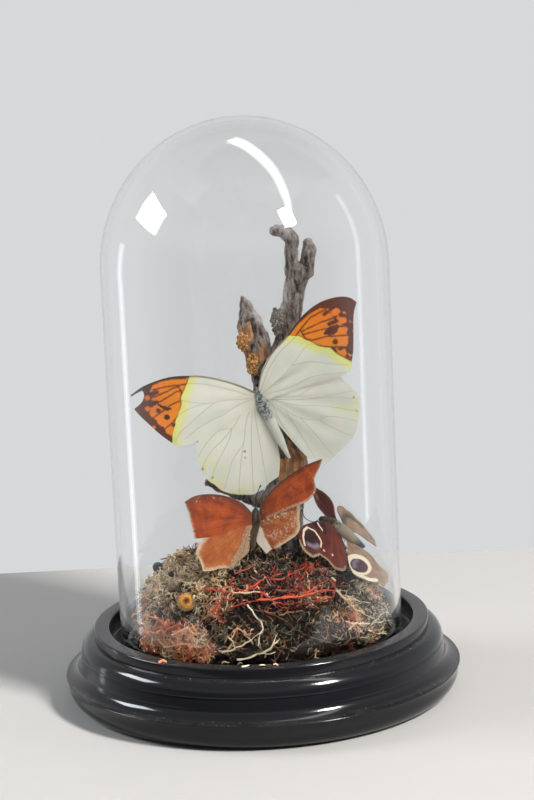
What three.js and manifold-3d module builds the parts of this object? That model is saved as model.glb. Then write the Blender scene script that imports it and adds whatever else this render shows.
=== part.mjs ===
import * as THREE from 'three';
import { mergeVertices } from 'three/addons/utils/BufferGeometryUtils.js';
import Module from 'manifold-3d';

// Three butterflies, a piece of driftwood and dyed mosses under a glass dome on a turned base.
// Millimetres, +Z up, origin at the centre of the underside, the front faces -Y.

// ---------------------------------------------------------------- driving dimensions

const BASE_RADIUS = 80;         // at the sharp edge, the widest place
const BASE_EDGE_HEIGHT = 11;    // height of that edge above the table
const FOOT_RADIUS = 71.5;       // flat underside
const RING_TOP = 30;            // flat ring around the glass
const RING_INNER = 61.5;
const RING_OUTER = 67.7;
const RING_BEVEL = 0.4;
const SHOULDER_TOP = 26;        // foot of the ring, where the shoulder starts
const SHOULDER_DROP = 5.5;      // radius of the quarter-round shoulder
const NECK_RADIUS = 74;         // above the cove
const COVE_DROP = 5;
const GROOVE_FLOOR = 22;        // the glass stands here
const PLATFORM_TOP = 27;        // the moss lies here
const PLATFORM_RADIUS = 53.6;

const GLASS_RADIUS = 57;
const GLASS_WALL = 2.2;
const GLASS_SHOULDER = 174;     // top of the straight wall
const GLASS_CAP = 59.5;         // height of the cap above it, a little over the radius

const WING = 0.5;               // thickness of a wing
const WING_LAP = 0.1;           // a hindwing sinks this far into the forewing before it
const ANTENNA = 0.35;           // radius
const CLEARANCE = 0.3;          // between pieces that meet

const MOUND_RADIUS = 52.6;
const MOUND_HEIGHT = 34.5;      // above the platform
const MOUND_LEAN = 4;           // higher by this at the left, lower at the right
const MOUND_ROUNDNESS = 2.3;    // exponent of its profile, 2 is an ellipse
const LUMP = 0.8;               // height of the soft lumps on the mound
const LUMP_ACROSS = 5.5;        // and how far apart they are, over 2 pi
const LUMP_DEEP = 6.5;
const TUFT_PROUD = 1;           // how far a tuft stands out of the mound
const HALF_SEAM = 0.2;          // half the gap between one tuft and the next

const ROUND_SIDES = 36;

// ---------------------------------------------------------------- solids and meshes

const wasm = await Module();
wasm.setup();

// A closed geometry as a solid that can be joined and cut.
function toSolid(geometry) {
  const bare = geometry.clone();
  bare.deleteAttribute('normal');
  bare.deleteAttribute('uv');
  const merged = mergeVertices(bare, 1e-4);
  const corners = merged.index.array;
  const kept = [];
  for (let i = 0; i < corners.length; i += 3) {
    const [a, b, c] = [corners[i], corners[i + 1], corners[i + 2]];
    if (a !== b && b !== c && c !== a) kept.push(a, b, c);
  }
  return new wasm.Manifold(new wasm.Mesh({
    numProp: 3,
    vertProperties: new Float32Array(merged.attributes.position.array),
    triVerts: new Uint32Array(kept),
  }));
}

function toGeometry(solid) {
  const mesh = solid.getMesh();
  const geometry = new THREE.BufferGeometry();
  geometry.setAttribute('position', new THREE.BufferAttribute(mesh.vertProperties, 3));
  geometry.setIndex(new THREE.BufferAttribute(mesh.triVerts, 1));
  geometry.computeVertexNormals();
  return geometry;
}

const dome = new THREE.Group();

function addPiece(name, solid, look) {
  const piece = new THREE.Mesh(toGeometry(solid), new THREE.MeshStandardMaterial(look));
  piece.name = name;
  dome.add(piece);
  return piece;
}

// ---------------------------------------------------------------- shapes

// Points of a quarter ellipse in the (radius, height) plane, from one angle to another.
function arc(centreR, centreZ, radiusR, radiusZ, from, to, steps) {
  const points = [];
  for (let i = 0; i <= steps; i += 1) {
    const angle = from + (to - from) * i / steps;
    points.push([centreR + radiusR * Math.cos(angle), centreZ + radiusZ * Math.sin(angle)]);
  }
  return points;
}

// A turned solid about +Z from (radius, height) points that run up the outside.
function turned(profile, sides = ROUND_SIDES) {
  const points = profile.map(([r, z]) => new THREE.Vector2(r, z));
  const geometry = new THREE.LatheGeometry(points, sides);
  geometry.rotateX(Math.PI / 2);
  return toSolid(geometry);
}

// A limb along a smooth line of points, each with its own radius, closed at both ends.
// bumps is the share of the radius taken by two slow waves round it and along it, and flatten
// squeezes it from front to back.
function limb(points, radii, { sides = 8, rings = 2, bumps = 0, flatten = 1 } = {}) {
  const curve = new THREE.CatmullRomCurve3(points.map((p) => new THREE.Vector3(...p)));
  const steps = (points.length - 1) * rings;
  const geometry = new THREE.CylinderGeometry(1, 1, 1, sides, steps);
  const position = geometry.attributes.position;
  const front = new THREE.Vector3(0, 1, 0);
  for (let i = 0; i < position.count; i += 1) {
    const along = position.getY(i) + 0.5;
    const station = along * (points.length - 1);
    const before = Math.min(Math.floor(station), points.length - 2);
    const radius = THREE.MathUtils.lerp(radii[before], radii[before + 1], station - before);
    const tangent = curve.getTangent(along);
    const across = new THREE.Vector3().crossVectors(front, tangent).normalize();
    const outward = new THREE.Vector3().crossVectors(across, tangent);
    const angle = Math.atan2(position.getZ(i), position.getX(i));
    const twist = Math.sin(3 * angle + 9 * along);
    const knots = Math.sin(2 * angle + 17 * along);
    const rough = 1 + bumps * (twist + knots) / 2;
    const place = curve.getPoint(along);
    place.addScaledVector(across, position.getX(i) * radius * rough);
    place.addScaledVector(outward, position.getZ(i) * radius * rough * flatten);
    position.setXYZ(i, place.x, place.y, place.z);
  }
  return toSolid(geometry);
}

// A ball with soft lumps, stretched to three radii.
function lumpyBall(centre, radii, { across = 14, up = 9, lump = 0.1 } = {}) {
  const geometry = new THREE.SphereGeometry(1, across, up);
  geometry.rotateX(Math.PI / 2);
  const position = geometry.attributes.position;
  for (let i = 0; i < position.count; i += 1) {
    const [x, y, z] = [position.getX(i), position.getY(i), position.getZ(i)];
    const swell = 1 + lump * Math.sin(5 * x) * Math.cos(4 * y) * Math.cos(4 * z);
    position.setXYZ(
      i,
      centre[0] + x * radii[0] * swell,
      centre[1] + y * radii[1] * swell,
      centre[2] + z * radii[2] * swell,
    );
  }
  return toSolid(geometry);
}

// Everything below the top of the platform, to cut what stands or lies on it.
function belowPlatform() {
  const slab = new THREE.BoxGeometry(200, 200, 100);
  slab.translate(0, 0, PLATFORM_TOP - 50);
  return toSolid(slab);
}

// ---------------------------------------------------------------- base and glass

function baseProfile() {
  const quarter = Math.PI / 2;
  const torusHeight = 7.5;
  const torusReach = BASE_RADIUS - 0.8 - FOOT_RADIUS;
  const shoulderFoot = SHOULDER_TOP - SHOULDER_DROP;
  return [
    [0, 0],
    ...arc(FOOT_RADIUS, torusHeight, torusReach, torusHeight, -quarter, 0, 4),
    [BASE_RADIUS - 0.6, BASE_EDGE_HEIGHT - 1.2],
    [BASE_RADIUS, BASE_EDGE_HEIGHT],
    ...arc(BASE_RADIUS, BASE_EDGE_HEIGHT + COVE_DROP, BASE_RADIUS - NECK_RADIUS, COVE_DROP,
      -quarter, -2 * quarter, 4).slice(1),
    ...arc(RING_OUTER, shoulderFoot, SHOULDER_DROP, SHOULDER_DROP, 0, quarter, 4),
    [RING_OUTER, RING_TOP - RING_BEVEL],
    [RING_OUTER - RING_BEVEL, RING_TOP],
    [RING_INNER + RING_BEVEL, RING_TOP],
    [RING_INNER, RING_TOP - RING_BEVEL],
    [RING_INNER, GROOVE_FLOOR],
    [PLATFORM_RADIUS, GROOVE_FLOOR],
    [PLATFORM_RADIUS, PLATFORM_TOP],
    [0, PLATFORM_TOP],
  ];
}

function glassProfile() {
  const inner = GLASS_RADIUS - GLASS_WALL;
  const quarter = Math.PI / 2;
  const steps = 8;
  const outside = arc(0, GLASS_SHOULDER, GLASS_RADIUS, GLASS_CAP, 0, quarter, steps);
  const inside = arc(0, GLASS_SHOULDER, inner, GLASS_CAP - GLASS_WALL, quarter, 0, steps);
  outside[steps][0] = 0;
  inside[0][0] = 0;
  return [
    [inner, GROOVE_FLOOR],
    [GLASS_RADIUS, GROOVE_FLOOR],
    ...outside,
    ...inside,
    [inner, GROOVE_FLOOR],
  ];
}

addPiece('base', turned(baseProfile()), { color: 0x0c0c0e, roughness: 0.22, metalness: 0 });
addPiece('glass_dome', turned(glassProfile()),
  { color: 0xeef4f2, roughness: 0.02, metalness: 0, transparent: true, opacity: 0.25 });

// ---------------------------------------------------------------- driftwood

const bark = { color: 0x6b5d50, roughness: 0.9, metalness: 0 };

// Each limb is cut back by the limbs it springs from, grown by the clearance.
const limbs = {
  branch_trunk: {
    points: [[9, 6, PLATFORM_TOP - 2], [9, 7, 55], [12, 8, 78], [13.5, 8, 93], [8.5, 4, 112], [8.5, 4.5, 124]],
    radii: [9, 8.5, 8, 8.2, 4.9, 4.4],
    bumps: 0.12,
  },
  branch_upper_stem: {
    points: [[8.5, 4.5, 124.4], [12, 6.5, 136], [16.4, 7.5, 147], [18.8, 8, 158.6], [21.3, 8, 171]],
    radii: [4.3, 4, 4.1, 4.1, 4.6],
    bumps: 0.12,
  },
  branch_left_stub: {
    points: [[6.4, 5, 121], [4, 5.5, 133], [3, 6, 142], [1, 6.5, 150], [-1.2, 7, 161]],
    radii: [3.4, 4.2, 5.6, 5, 0.9],
    bumps: 0.14,
  },
  branch_top_left_stub: {
    points: [[19, 8, 170.5], [18.8, 7, 178.5], [19.2, 6, 183], [16.2, 5, 186.6], [11.6, 4.5, 187.2]],
    radii: [3, 2.4, 2.7, 2.6, 1.7],
    bumps: 0.1,
  },
  branch_top_right_stub: {
    points: [[24.2, 8, 170.5], [25.4, 8.5, 174.5], [26, 9, 178.5], [25.4, 9, 182]],
    radii: [3.2, 3, 2.6, 1.5],
    bumps: 0.1,
  },
  branch_low_stub: {
    points: [[10, 9, 74], [1, 10, 77.5], [-8, 11, 80.5], [-19, 11, 85.2]],
    radii: [4, 3.6, 3, 1.7],
    bumps: 0.14,
  },
};

function limbSolid({ points, radii, bumps }, extra = 0) {
  return limb(points, radii.map((r) => r + extra), { sides: 9, bumps });
}

const parents = {
  branch_upper_stem: ['branch_trunk'],
  branch_left_stub: ['branch_trunk', 'branch_upper_stem'],
  branch_top_left_stub: ['branch_upper_stem'],
  branch_top_right_stub: ['branch_upper_stem', 'branch_top_left_stub'],
  branch_low_stub: ['branch_trunk'],
};

for (const [name, shape] of Object.entries(limbs)) {
  let solid = limbSolid(shape).subtract(belowPlatform());
  for (const parent of parents[name] ?? []) {
    solid = solid.subtract(limbSolid(limbs[parent], CLEARANCE));
  }
  addPiece(name, solid, bark);
}

// Crusts of lichen on the wood, cut where they sit on it.
const crusts = [
  ['grey_lichen', [12.2, 5.5, 150.5], [3.4, 3.2, 6.5], 0x8a8780, 'branch_upper_stem'],
  ['ochre_lichen_upper', [-1.8, 2.4, 143.5], [3.2, 3, 4.4], 0xb07a3a, 'branch_left_stub'],
  ['ochre_lichen_lower', [1.6, 1.4, 134.4], [3, 2.6, 5.2], 0xb07a3a, 'branch_left_stub'],
];

for (const [name, centre, radii, color, host] of crusts) {
  let crust = lumpyBall(centre, radii, { across: 10, up: 7, lump: 0.22 });
  for (const limbName of ['branch_trunk', 'branch_upper_stem', host]) {
    crust = crust.subtract(limbSolid(limbs[limbName], CLEARANCE));
  }
  addPiece(name, crust, { color, roughness: 0.95, metalness: 0 });
}

// ---------------------------------------------------------------- butterflies

// A butterfly is one solid: its body with the antennae, and the wings rooted in it.

// A wing lies in the plane of its hinge, its tip and one more corner.
// Its outline is [outward, rearward] from the hinge, outward running to the tip.
// facing is 1 on a left side and -1 on a right one. level is 1 for a wing on the back's side of
// its plane, and -1 for the one that lies behind it.
function wingSolid({ hinge, tip, corner, facing, level, outline }, extra) {
  const origin = new THREE.Vector3(...hinge);
  const outward = new THREE.Vector3(...tip).sub(origin).normalize();
  const inPlane = new THREE.Vector3(...corner).sub(origin);
  const normal = new THREE.Vector3().crossVectors(outward, inPlane).normalize();
  const rearward = new THREE.Vector3().crossVectors(normal, outward);
  const shape = new THREE.Shape(outline.map(([x, y]) => new THREE.Vector2(x, y)));
  const depth = WING + 2 * extra;
  const slab = new THREE.ExtrudeGeometry(shape, { depth, bevelEnabled: false });
  slab.translate(0, 0, (facing * level * (WING - WING_LAP) - depth) / 2);
  slab.applyMatrix4(new THREE.Matrix4().makeBasis(outward, rearward, normal).setPosition(origin));
  return toSolid(slab);
}

function butterflySolid({ body, radii, antennae, wings }, extra = 0) {
  let solid = limb(body, radii.map((r) => r + extra), { sides: 8, flatten: 0.9 });
  for (const points of antennae) {
    solid = solid.add(limb(points, points.map(() => ANTENNA + extra), { sides: 5 }));
  }
  for (const wing of wings) solid = solid.add(wingSolid(wing, extra));
  return solid;
}

const FORE = 1;
const HIND = -1;

// The large white with orange tips, upright on the fork of the wood.
const whiteLeft = { hinge: [2.5, -5, 123], tip: [-41, -15, 131], corner: [-4.5, -7, 83], facing: 1 };
const whiteRight = { hinge: [4, -5, 123.5], tip: [43, -9, 159], corner: [27, -7, 93.5], facing: -1 };
const whiteButterfly = {
  body: [[1.9, -4.4, 126], [2.9, -4.4, 123.8], [4.6, -4.4, 119.5], [7.4, -4.8, 112.8],
    [10.8, -5, 105], [14.2, -5.2, 97.3]],
  radii: [0.9, 1.8, 2.9, 2, 1.7, 0.6],
  antennae: [],
  colour: 0x8f938a,
  wings: [
    // left forewing
    {
      ...whiteLeft,
      level: FORE,
      outline: [[1.5, -1.5], [5.5, -3], [11.5, -4.5], [17.5, -5.5], [23.5, -6], [29, -5.5], [35, -4.5],
        [40.5, -2.5], [46, 0.5], [50, 4.5], [46, 1.8], [45, 3.5], [45.5, 6.5], [48, 9.5], [45.5, 12],
        [41, 15.5], [37, 18.5], [32, 21.5], [29, 22.5], [26, 22], [22, 20], [9.5, 10.5], [0, 5.5],
        [-1.5, 3], [-1.2, -0.5]],
    },
    // left hindwing
    {
      ...whiteLeft,
      level: HIND,
      outline: [[-1, 3.5], [6, 7], [15.5, 13], [22.5, 18.5], [21.5, 24], [20, 29], [18, 32.5],
        [15.5, 35.5], [12, 37.5], [9, 39.5], [4.5, 40.5], [0, 40.5], [-4, 40], [-7.5, 37.5], [-10, 35],
        [-13.5, 32], [-13, 25], [-10.5, 17.5], [-7, 12], [-4, 6.5]],
    },
    // right forewing
    {
      ...whiteRight,
      level: FORE,
      outline: [[2, -3], [6.5, -6], [13.5, -8.5], [25, -9.5], [35, -11], [43, -10], [49.5, -6.5],
        [52.5, -3], [53, 0], [49, 2.5], [43.5, 8], [38.5, 13], [34.5, 16], [32.5, 17.5], [29.5, 17.5],
        [26.5, 16], [13, 9], [1, 3.5], [-1.5, 2], [-1, -1.5]],
    },
    // right hindwing
    {
      ...whiteRight,
      level: HIND,
      outline: [[0.5, 2], [15.5, 7], [28, 14.5], [27.5, 21], [27.5, 26], [25.5, 30], [21, 34],
        [15.5, 37.5], [8.5, 38.5], [2, 38.5], [-3, 38], [-4.5, 32], [-4.5, 25.5], [-4, 19],
        [-3.5, 12.5], [-2, 6.5]],
    },
  ],
};

// The orange one below it, upright on the top of the moss.
const orangeLeft = { hinge: [-1.5, -19, 76.8], tip: [-27.5, -30, 87.4], corner: [-14.5, -30.5, 58.1], facing: 1 };
const orangeRight = { hinge: [1, -18, 76.5], tip: [26.5, -24, 100.5], corner: [5, -21, 64], facing: -1 };
const orangeButterfly = {
  body: [[-0.1, -18, 80.4], [-0.2, -18, 78.6], [-0.4, -18, 75.6], [-1, -18, 71.9], [-1.9, -18, 64.3]],
  radii: [0.8, 1.6, 2.4, 1.9, 0.7],
  antennae: [
    [[-0.1, -18.6, 79.6], [0, -19, 84], [0.9, -19, 87], [2.3, -19, 89.9]],
    [[0.3, -18.6, 79.9], [2.8, -19, 86], [6.1, -19, 89.9]],
  ],
  colour: 0x6f5f3f,
  wings: [
    // left forewing
    {
      ...orangeLeft,
      level: FORE,
      outline: [[1.5, -1], [2, -2.5], [6.5, -5], [14.5, -6], [21.5, -5], [26.5, -3], [30, 0], [27, 4.5],
        [24.5, 9.5], [23, 13], [18, 11.5], [12.5, 9.5], [8, 6.5], [1, 3], [-1.5, 2], [-1.2, -0.5]],
    },
    // left hindwing
    {
      ...orangeLeft,
      level: HIND,
      outline: [[-1.5, 0.8], [0.5, 1.5], [8.5, 6], [17, 10], [20.5, 15.5], [21, 19], [19, 20.5], [16.5, 24.5],
        [14, 24], [8, 21.5], [5, 21.5], [4.5, 22], [3, 18.5], [-1, 14], [-1, 10.5], [0, 6.5]],
    },
    // right forewing
    {
      ...orangeRight,
      level: FORE,
      outline: [[1, 0], [2, -1.5], [5.5, -3.5], [12.5, -4.5], [21, -4], [29, -2.5], [35.5, 0], [32, 2],
        [28, 3.5], [25.5, 7], [23, 8], [19, 8], [12, 5.5], [1, 1.8], [-1, 1.4], [-1, -0.4]],
    },
    // right hindwing
    {
      ...orangeRight,
      level: HIND,
      outline: [[1, 0.5], [9.5, 3], [17, 6.5], [13, 10.5], [10.5, 13.5], [7.5, 15], [2.5, 14.5],
        [-2.5, 13.5], [-5, 12.5], [-7.5, 12.5], [-7.5, 9], [-7, 6], [-3, 3]],
    },
  ],
};

// The eyed maroon one on the right, on its moss, turned so that its left wings come forward.
const eyedButterfly = {
  body: [[25.6, 2, 69.8], [27.6, 2, 68.8], [31.2, 2, 66.6], [36.7, 2, 62.4], [43, 2, 57]],
  radii: [0.9, 1.8, 2.6, 2.3, 0.8],
  antennae: [
    [[25.8, 1.6, 69.6], [23.2, 0.5, 68.9], [21.2, 0, 69.6], [19.3, 0, 71.2], [18.5, 0, 74.3]],
  ],
  colour: 0x5b5144,
  wings: [
    // left forewing
    {
      hinge: [30.5, 0, 66.5],
      tip: [17, -19, 71],
      corner: [34.5, -13, 52],
      facing: 1,
      level: FORE,
      outline: [[0.5, -2], [7, -3], [15.5, -2.5], [21, -1.5], [25.5, 1.5], [27.5, 4.5], [28, 7.5],
        [27, 10.5], [24.5, 12.5], [18.5, 11.5], [15.5, 14.5], [12.5, 18.5], [7.5, 19.5], [4.5, 18],
        [0.5, 13.5], [-2, 7.5], [-3, 2]],
    },
    // left hindwing
    {
      hinge: [36.6, -1.5, 58.4],
      tip: [50, -10.5, 49.2],
      corner: [38.2, -14.5, 50.2],
      facing: 1,
      level: FORE,
      outline: [[-2, -1.5], [1, 2], [4, 5.5], [7.5, 8.5], [11.5, 10.5], [15, 10], [18.5, 8], [20.5, 6.5],
        [23, 7], [22, 3], [19.5, -0.5], [15, -1.5], [10, -3.5], [5.5, -4], [0.5, -3.5], [-3, -4.8],
        [-4.4, -3.2]],
    },
    // right forewing
    {
      hinge: [32, 3, 69.5],
      tip: [24.5, 20, 78],
      corner: [25, 24, 71],
      facing: -1,
      level: FORE,
      outline: [[-0.5, -2], [0, -6], [3, -8], [10, -6], [19.5, -1], [22, 3.5], [22.5, 6.5], [18, 8.5],
        [11.5, 8], [3, 2.5], [-1.5, 3.6], [-2.6, 1]],
    },
    // right hindwing
    {
      hinge: [35.5, 4.5, 66],
      tip: [34.6, 18, 70],
      corner: [49, 10, 53],
      facing: -1,
      level: FORE,
      outline: [[0, -1], [8, -3], [13.5, -1], [16, 3.5], [15.5, 9.5], [13, 15], [8, 20], [3.5, 19.5],
        [2, 14], [1, 7], [-3.4, 2.6], [-3.6, -0.4]],
    },
  ],
};

const butterflies = {
  white_butterfly: whiteButterfly,
  orange_butterfly: orangeButterfly,
  eyed_butterfly: eyedButterfly,
};

for (const [name, insect] of Object.entries(butterflies)) {
  const look = { color: insect.colour, roughness: 0.8, metalness: 0, side: THREE.DoubleSide };
  addPiece(name, butterflySolid(insect), look);
}

// ---------------------------------------------------------------- small dry things on the moss

const trinkets = {
  button_flower: { centre: [-28.7, -34.5, 48.2], radii: [3.8, 2.8, 3.6], colour: 0xc9862a },
  large_berry: { centre: [-40.4, -5, 54.6], radii: [2.3, 2.3, 2.3], colour: 0x2b2530 },
  small_berry: { centre: [-34.5, -18, 55.2], radii: [1.4, 1.4, 1.4], colour: 0x25242b },
};

function trinketSolid({ centre, radii }, extra = 0) {
  return lumpyBall(centre, radii.map((r) => r + extra), { across: 10, up: 7, lump: 0.05 });
}

for (const [name, shape] of Object.entries(trinkets)) {
  addPiece(name, trinketSolid(shape), { color: shape.colour, roughness: 0.7, metalness: 0 });
}

// ---------------------------------------------------------------- moss

// The whole mound: a rounded heap, higher at the left, with soft lumps.
function mound(extra = 0) {
  const geometry = new THREE.SphereGeometry(1, 24, 11);
  geometry.rotateX(Math.PI / 2);
  const position = geometry.attributes.position;
  for (let i = 0; i < position.count; i += 1) {
    const [x, y, z] = [position.getX(i), position.getY(i), position.getZ(i)];
    const flat = Math.hypot(x, y);
    const angle = Math.atan2(y, x);
    const reach = flat ** (2 / MOUND_ROUNDNESS) * (MOUND_RADIUS + extra);
    const rise = Math.sign(z) * Math.abs(z) ** (2 / MOUND_ROUNDNESS);
    const height = MOUND_HEIGHT + extra - MOUND_LEAN * Math.cos(angle) * flat;
    const across = reach * Math.cos(angle);
    const deep = reach * Math.sin(angle);
    const lumps = z > 0 ? LUMP * Math.sin(across / LUMP_ACROSS) * Math.cos(deep / LUMP_DEEP) : 0;
    position.setXYZ(i, across, deep, PLATFORM_TOP + rise * height + lumps);
  }
  return toSolid(geometry).subtract(belowPlatform());
}

// Tufts laid into the mound, each where its colour of moss shows.
const tufts = {
  cream_moss: { centre: [-28, -16, 51], radii: [24, 22, 15], colour: 0xa89a78 },
  pink_moss: { centre: [-32, -35, 31], radii: [23, 16, 9], colour: 0xb98872 },
  red_moss: { centre: [14, -28, 53], radii: [19, 13, 8], colour: 0x9c3524 },
  grey_lichen_moss: { centre: [44, -24, 37], radii: [15, 16, 11], colour: 0x9a8f78 },
};

const standing = [
  ...['branch_trunk', 'branch_low_stub'].map((name) => limbSolid(limbs[name], CLEARANCE)),
  ...Object.values(butterflies).map((insect) => butterflySolid(insect, CLEARANCE)),
  ...Object.values(trinkets).map((shape) => trinketSolid(shape, CLEARANCE)),
];

// The heap swells up at the back right and carries the eyed butterfly.
let bed = mound().add(lumpyBall([34, 8, 51], [9, 8, 8.5]));
const proud = mound(TUFT_PROUD);
let taken = null;
for (const [name, { centre, radii, colour }] of Object.entries(tufts)) {
  const patch = { across: 14, up: 9, lump: 0.08 };
  const space = lumpyBall(centre, radii.map((r) => r + HALF_SEAM), patch);
  let tuft = proud.intersect(lumpyBall(centre, radii.map((r) => r - HALF_SEAM), patch));
  if (taken) tuft = tuft.subtract(taken);
  for (const piece of standing) tuft = tuft.subtract(piece);
  addPiece(name, tuft, { color: colour, roughness: 1, metalness: 0 });
  bed = bed.subtract(space);
  taken = taken ? taken.add(space) : space;
}
for (const piece of standing) bed = bed.subtract(piece);
addPiece('dark_moss_bed', bed, { color: 0x2e2722, roughness: 1, metalness: 0 });

export default dome;
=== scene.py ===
"""Butterflies, driftwood and dyed mosses under a glass dome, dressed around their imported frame."""

import math
import random
from contextlib import contextmanager

import bpy
import numpy as np
from mathutils import Matrix, Vector, noise
from mathutils.bvhtree import BVHTree


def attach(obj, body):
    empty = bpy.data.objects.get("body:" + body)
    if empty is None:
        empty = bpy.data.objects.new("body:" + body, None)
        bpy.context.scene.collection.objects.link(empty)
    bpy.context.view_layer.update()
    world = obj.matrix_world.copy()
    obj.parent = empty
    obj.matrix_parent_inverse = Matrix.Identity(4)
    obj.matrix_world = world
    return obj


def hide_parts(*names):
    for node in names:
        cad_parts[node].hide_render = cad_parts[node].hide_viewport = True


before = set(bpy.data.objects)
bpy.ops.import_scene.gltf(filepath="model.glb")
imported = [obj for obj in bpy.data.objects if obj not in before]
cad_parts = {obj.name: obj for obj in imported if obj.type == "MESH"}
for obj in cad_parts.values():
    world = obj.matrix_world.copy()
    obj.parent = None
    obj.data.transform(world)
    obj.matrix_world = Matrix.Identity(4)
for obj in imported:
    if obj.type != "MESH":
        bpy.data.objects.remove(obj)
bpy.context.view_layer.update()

bl_info = {
    "name": "Insect in Glass Dome",
    "version": (1, 0, 0),
    "blender": (4, 5, 0),
    "location": "View3D > Sidebar > Dome",
    "description": "Dresses the frame of a glass dome with butterflies, driftwood and moss",
    "category": "Add Mesh",
}

MM = 0.001
BODY = "root"

# ------------------------------------------------------------------ sizes in millimetres

BASE_RADIUS = 80
BASE_EDGE_HEIGHT = 11
FOOT_RADIUS = 71.5
FOOT_HEIGHT = 7.5
RING_TOP = 30
RING_INNER = 61.5
RING_OUTER = 67.7
SHOULDER_TOP = 26
SHOULDER_DROP = 5.5
NECK_RADIUS = 74
COVE_DROP = 5
GROOVE_FLOOR = 22
PLATFORM_TOP = 27
PLATFORM_RADIUS = 53.6

GLASS_RADIUS = 57
GLASS_WALL = 2.2
GLASS_SHOULDER = 174
GLASS_CAP = 59.5
RIPPLE = 0.16
RIPPLE_MOST = 0.12
RIPPLE_WAVES = (0.014, 0.014, 0.009)
CROWN_RING = 2.6
CROWN_RELIEF = 0.02

MOUND_RADIUS = 52.6
MOUND_HEIGHT = 34.5
MOUND_LEAN = 4
MOUND_ROUNDNESS = 2.3

# Each limb of the branch: points along it and the radius at each.
LIMBS = {
    "branch_trunk": (
        [(9, 6, 25), (9, 7, 55), (12, 8, 78), (13.5, 8, 93), (8.5, 4, 112), (8.5, 4.5, 124)],
        [9, 8.5, 8, 8.2, 4.9, 4.4]),
    "branch_upper_stem": (
        [(8.5, 4.5, 122), (12, 6.5, 136), (16.4, 7.5, 147), (18.8, 8, 158.6), (21.3, 8, 171)],
        [4.3, 4, 4.1, 4.1, 4.6]),
    "branch_left_stub": (
        [(6.4, 5, 119), (4, 5.5, 133), (3, 6, 142), (1, 6.5, 150), (-1.2, 7, 161)], [3.4, 4.2, 5.6, 5, 0.9]),
    "branch_top_left_stub": (
        [(19, 8, 169), (18.8, 7, 178.5), (19.2, 6, 183), (16.2, 5, 186.6), (11.6, 4.5, 187.2)],
        [3, 2.4, 2.7, 2.6, 1.7]),
    "branch_top_right_stub": (
        [(24, 8, 168.5), (25.4, 8.5, 174.5), (26, 9, 178.5), (25.4, 9, 182)], [3.2, 3, 2.6, 1.5]),
    "branch_low_stub": ([(10, 9, 74), (1, 10, 77.5), (-8, 11, 80.5), (-19, 11, 85.2)], [4, 3.6, 3, 1.7]),
}

# Where the bark is gone: a middle and how far it reaches.
BARE_PATCHES = (
    ((-2.6, 1, 146), 4.4),
    ((17, 0, 92), 8),
    ((-1, 2, 137), 3.6),
    ((6, 1, 139), 3),
    ((-19, 1, 87), 7),
)

# Each crust of lichen: its middle, its radii and how many grains it has.
LICHENS = {
    "grey_lichen": ((12.2, 5.5, 150.5), (3.2, 3, 6.2), 170),
    "ochre_lichen_upper": ((-1.8, 2.4, 143.5), (3, 2.8, 4.2), 150),
    "ochre_lichen_lower": ((1.6, 1.4, 134.4), (2.8, 2.5, 5), 150),
}

TUFTS = ("cream_moss", "pink_moss", "red_moss", "grey_lichen_moss", "dark_moss_bed")

FORE = 1
HIND = -1


# ------------------------------------------------------------------ mesh helpers


def begin(add, name, **options):
    """Adds a primitive, named, and alone in the selection."""
    bpy.ops.object.select_all(action="DESELECT")
    add(**options)
    piece = bpy.context.object
    piece.name = name
    piece.data.name = name
    return piece


def places(mesh):
    """The mesh's vertices as an array, one row each."""
    flat = np.empty(len(mesh.vertices) * 3)
    mesh.vertices.foreach_get("co", flat)
    return flat.reshape(-1, 3)


def place(mesh, rows):
    """Moves the mesh's vertices to the rows of an array."""
    mesh.vertices.foreach_set("co", np.asarray(rows, dtype=np.float32).ravel())
    mesh.update()


def take_up(piece):
    """Makes piece the active object and the only selected one."""
    bpy.ops.object.select_all(action="DESELECT")
    piece.select_set(True)
    bpy.context.view_layer.objects.active = piece


@contextmanager
def editing(action="SELECT"):
    """Edit mode on the active piece, with all of it selected unless action says otherwise."""
    bpy.ops.object.mode_set(mode="EDIT")
    bpy.ops.mesh.select_all(action=action)
    yield
    bpy.ops.object.mode_set(mode="OBJECT")


def clean_up(piece, gap=1e-6):
    """Closes seams and poles, then points every face outwards."""
    take_up(piece)
    with editing():
        bpy.ops.mesh.remove_doubles(threshold=gap)
        bpy.ops.mesh.normals_make_consistent(inside=False)


def mesh_of(name, rows, faces):
    """A piece made of these rows, in millimetres, and these faces."""
    piece = begin(bpy.ops.mesh.primitive_circle_add, name, vertices=3, radius=1)
    piece.data.clear_geometry()
    piece.data.from_pydata(rows * MM, [], faces)
    return piece


def wander(rows, waves=1, shift=0):
    """Smooth noise from about -1 to 1 at each row, with this many waves to the unit along each axis."""
    return np.array([noise.noise(Vector(row)) for row in rows * np.array(waves) + np.array(shift)])


def unit(rows):
    """The rows scaled to a length of 1."""
    return rows / np.maximum(np.linalg.norm(rows, axis=1), 1e-9)[:, None]


def modify(piece, kind, **settings):
    """Adds a modifier with these settings and applies it."""
    take_up(piece)
    modifier = piece.modifiers.new(kind.title(), kind)
    for key, value in settings.items():
        setattr(modifier, key, value)
    bpy.ops.object.modifier_apply(modifier=modifier.name)


def join(name, pieces):
    """Joins several pieces in one, under a name of its own."""
    take_up(pieces[0])
    for piece in pieces:
        piece.select_set(True)
    if len(pieces) > 1:
        bpy.ops.object.join()
    joined = bpy.context.object
    joined.name = name
    joined.data.name = name
    return joined


def smooth(piece, angle=40):
    take_up(piece)
    bpy.ops.object.shade_smooth_by_angle(angle=math.radians(angle))


def hand_over(piece, nodes, materials=()):
    """Dresses a finished piece, lets it ride on the part, and lets it stand for its CAD nodes."""
    for material in materials:
        piece.data.materials.append(material)
    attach(piece, BODY)
    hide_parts(*nodes)


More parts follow.
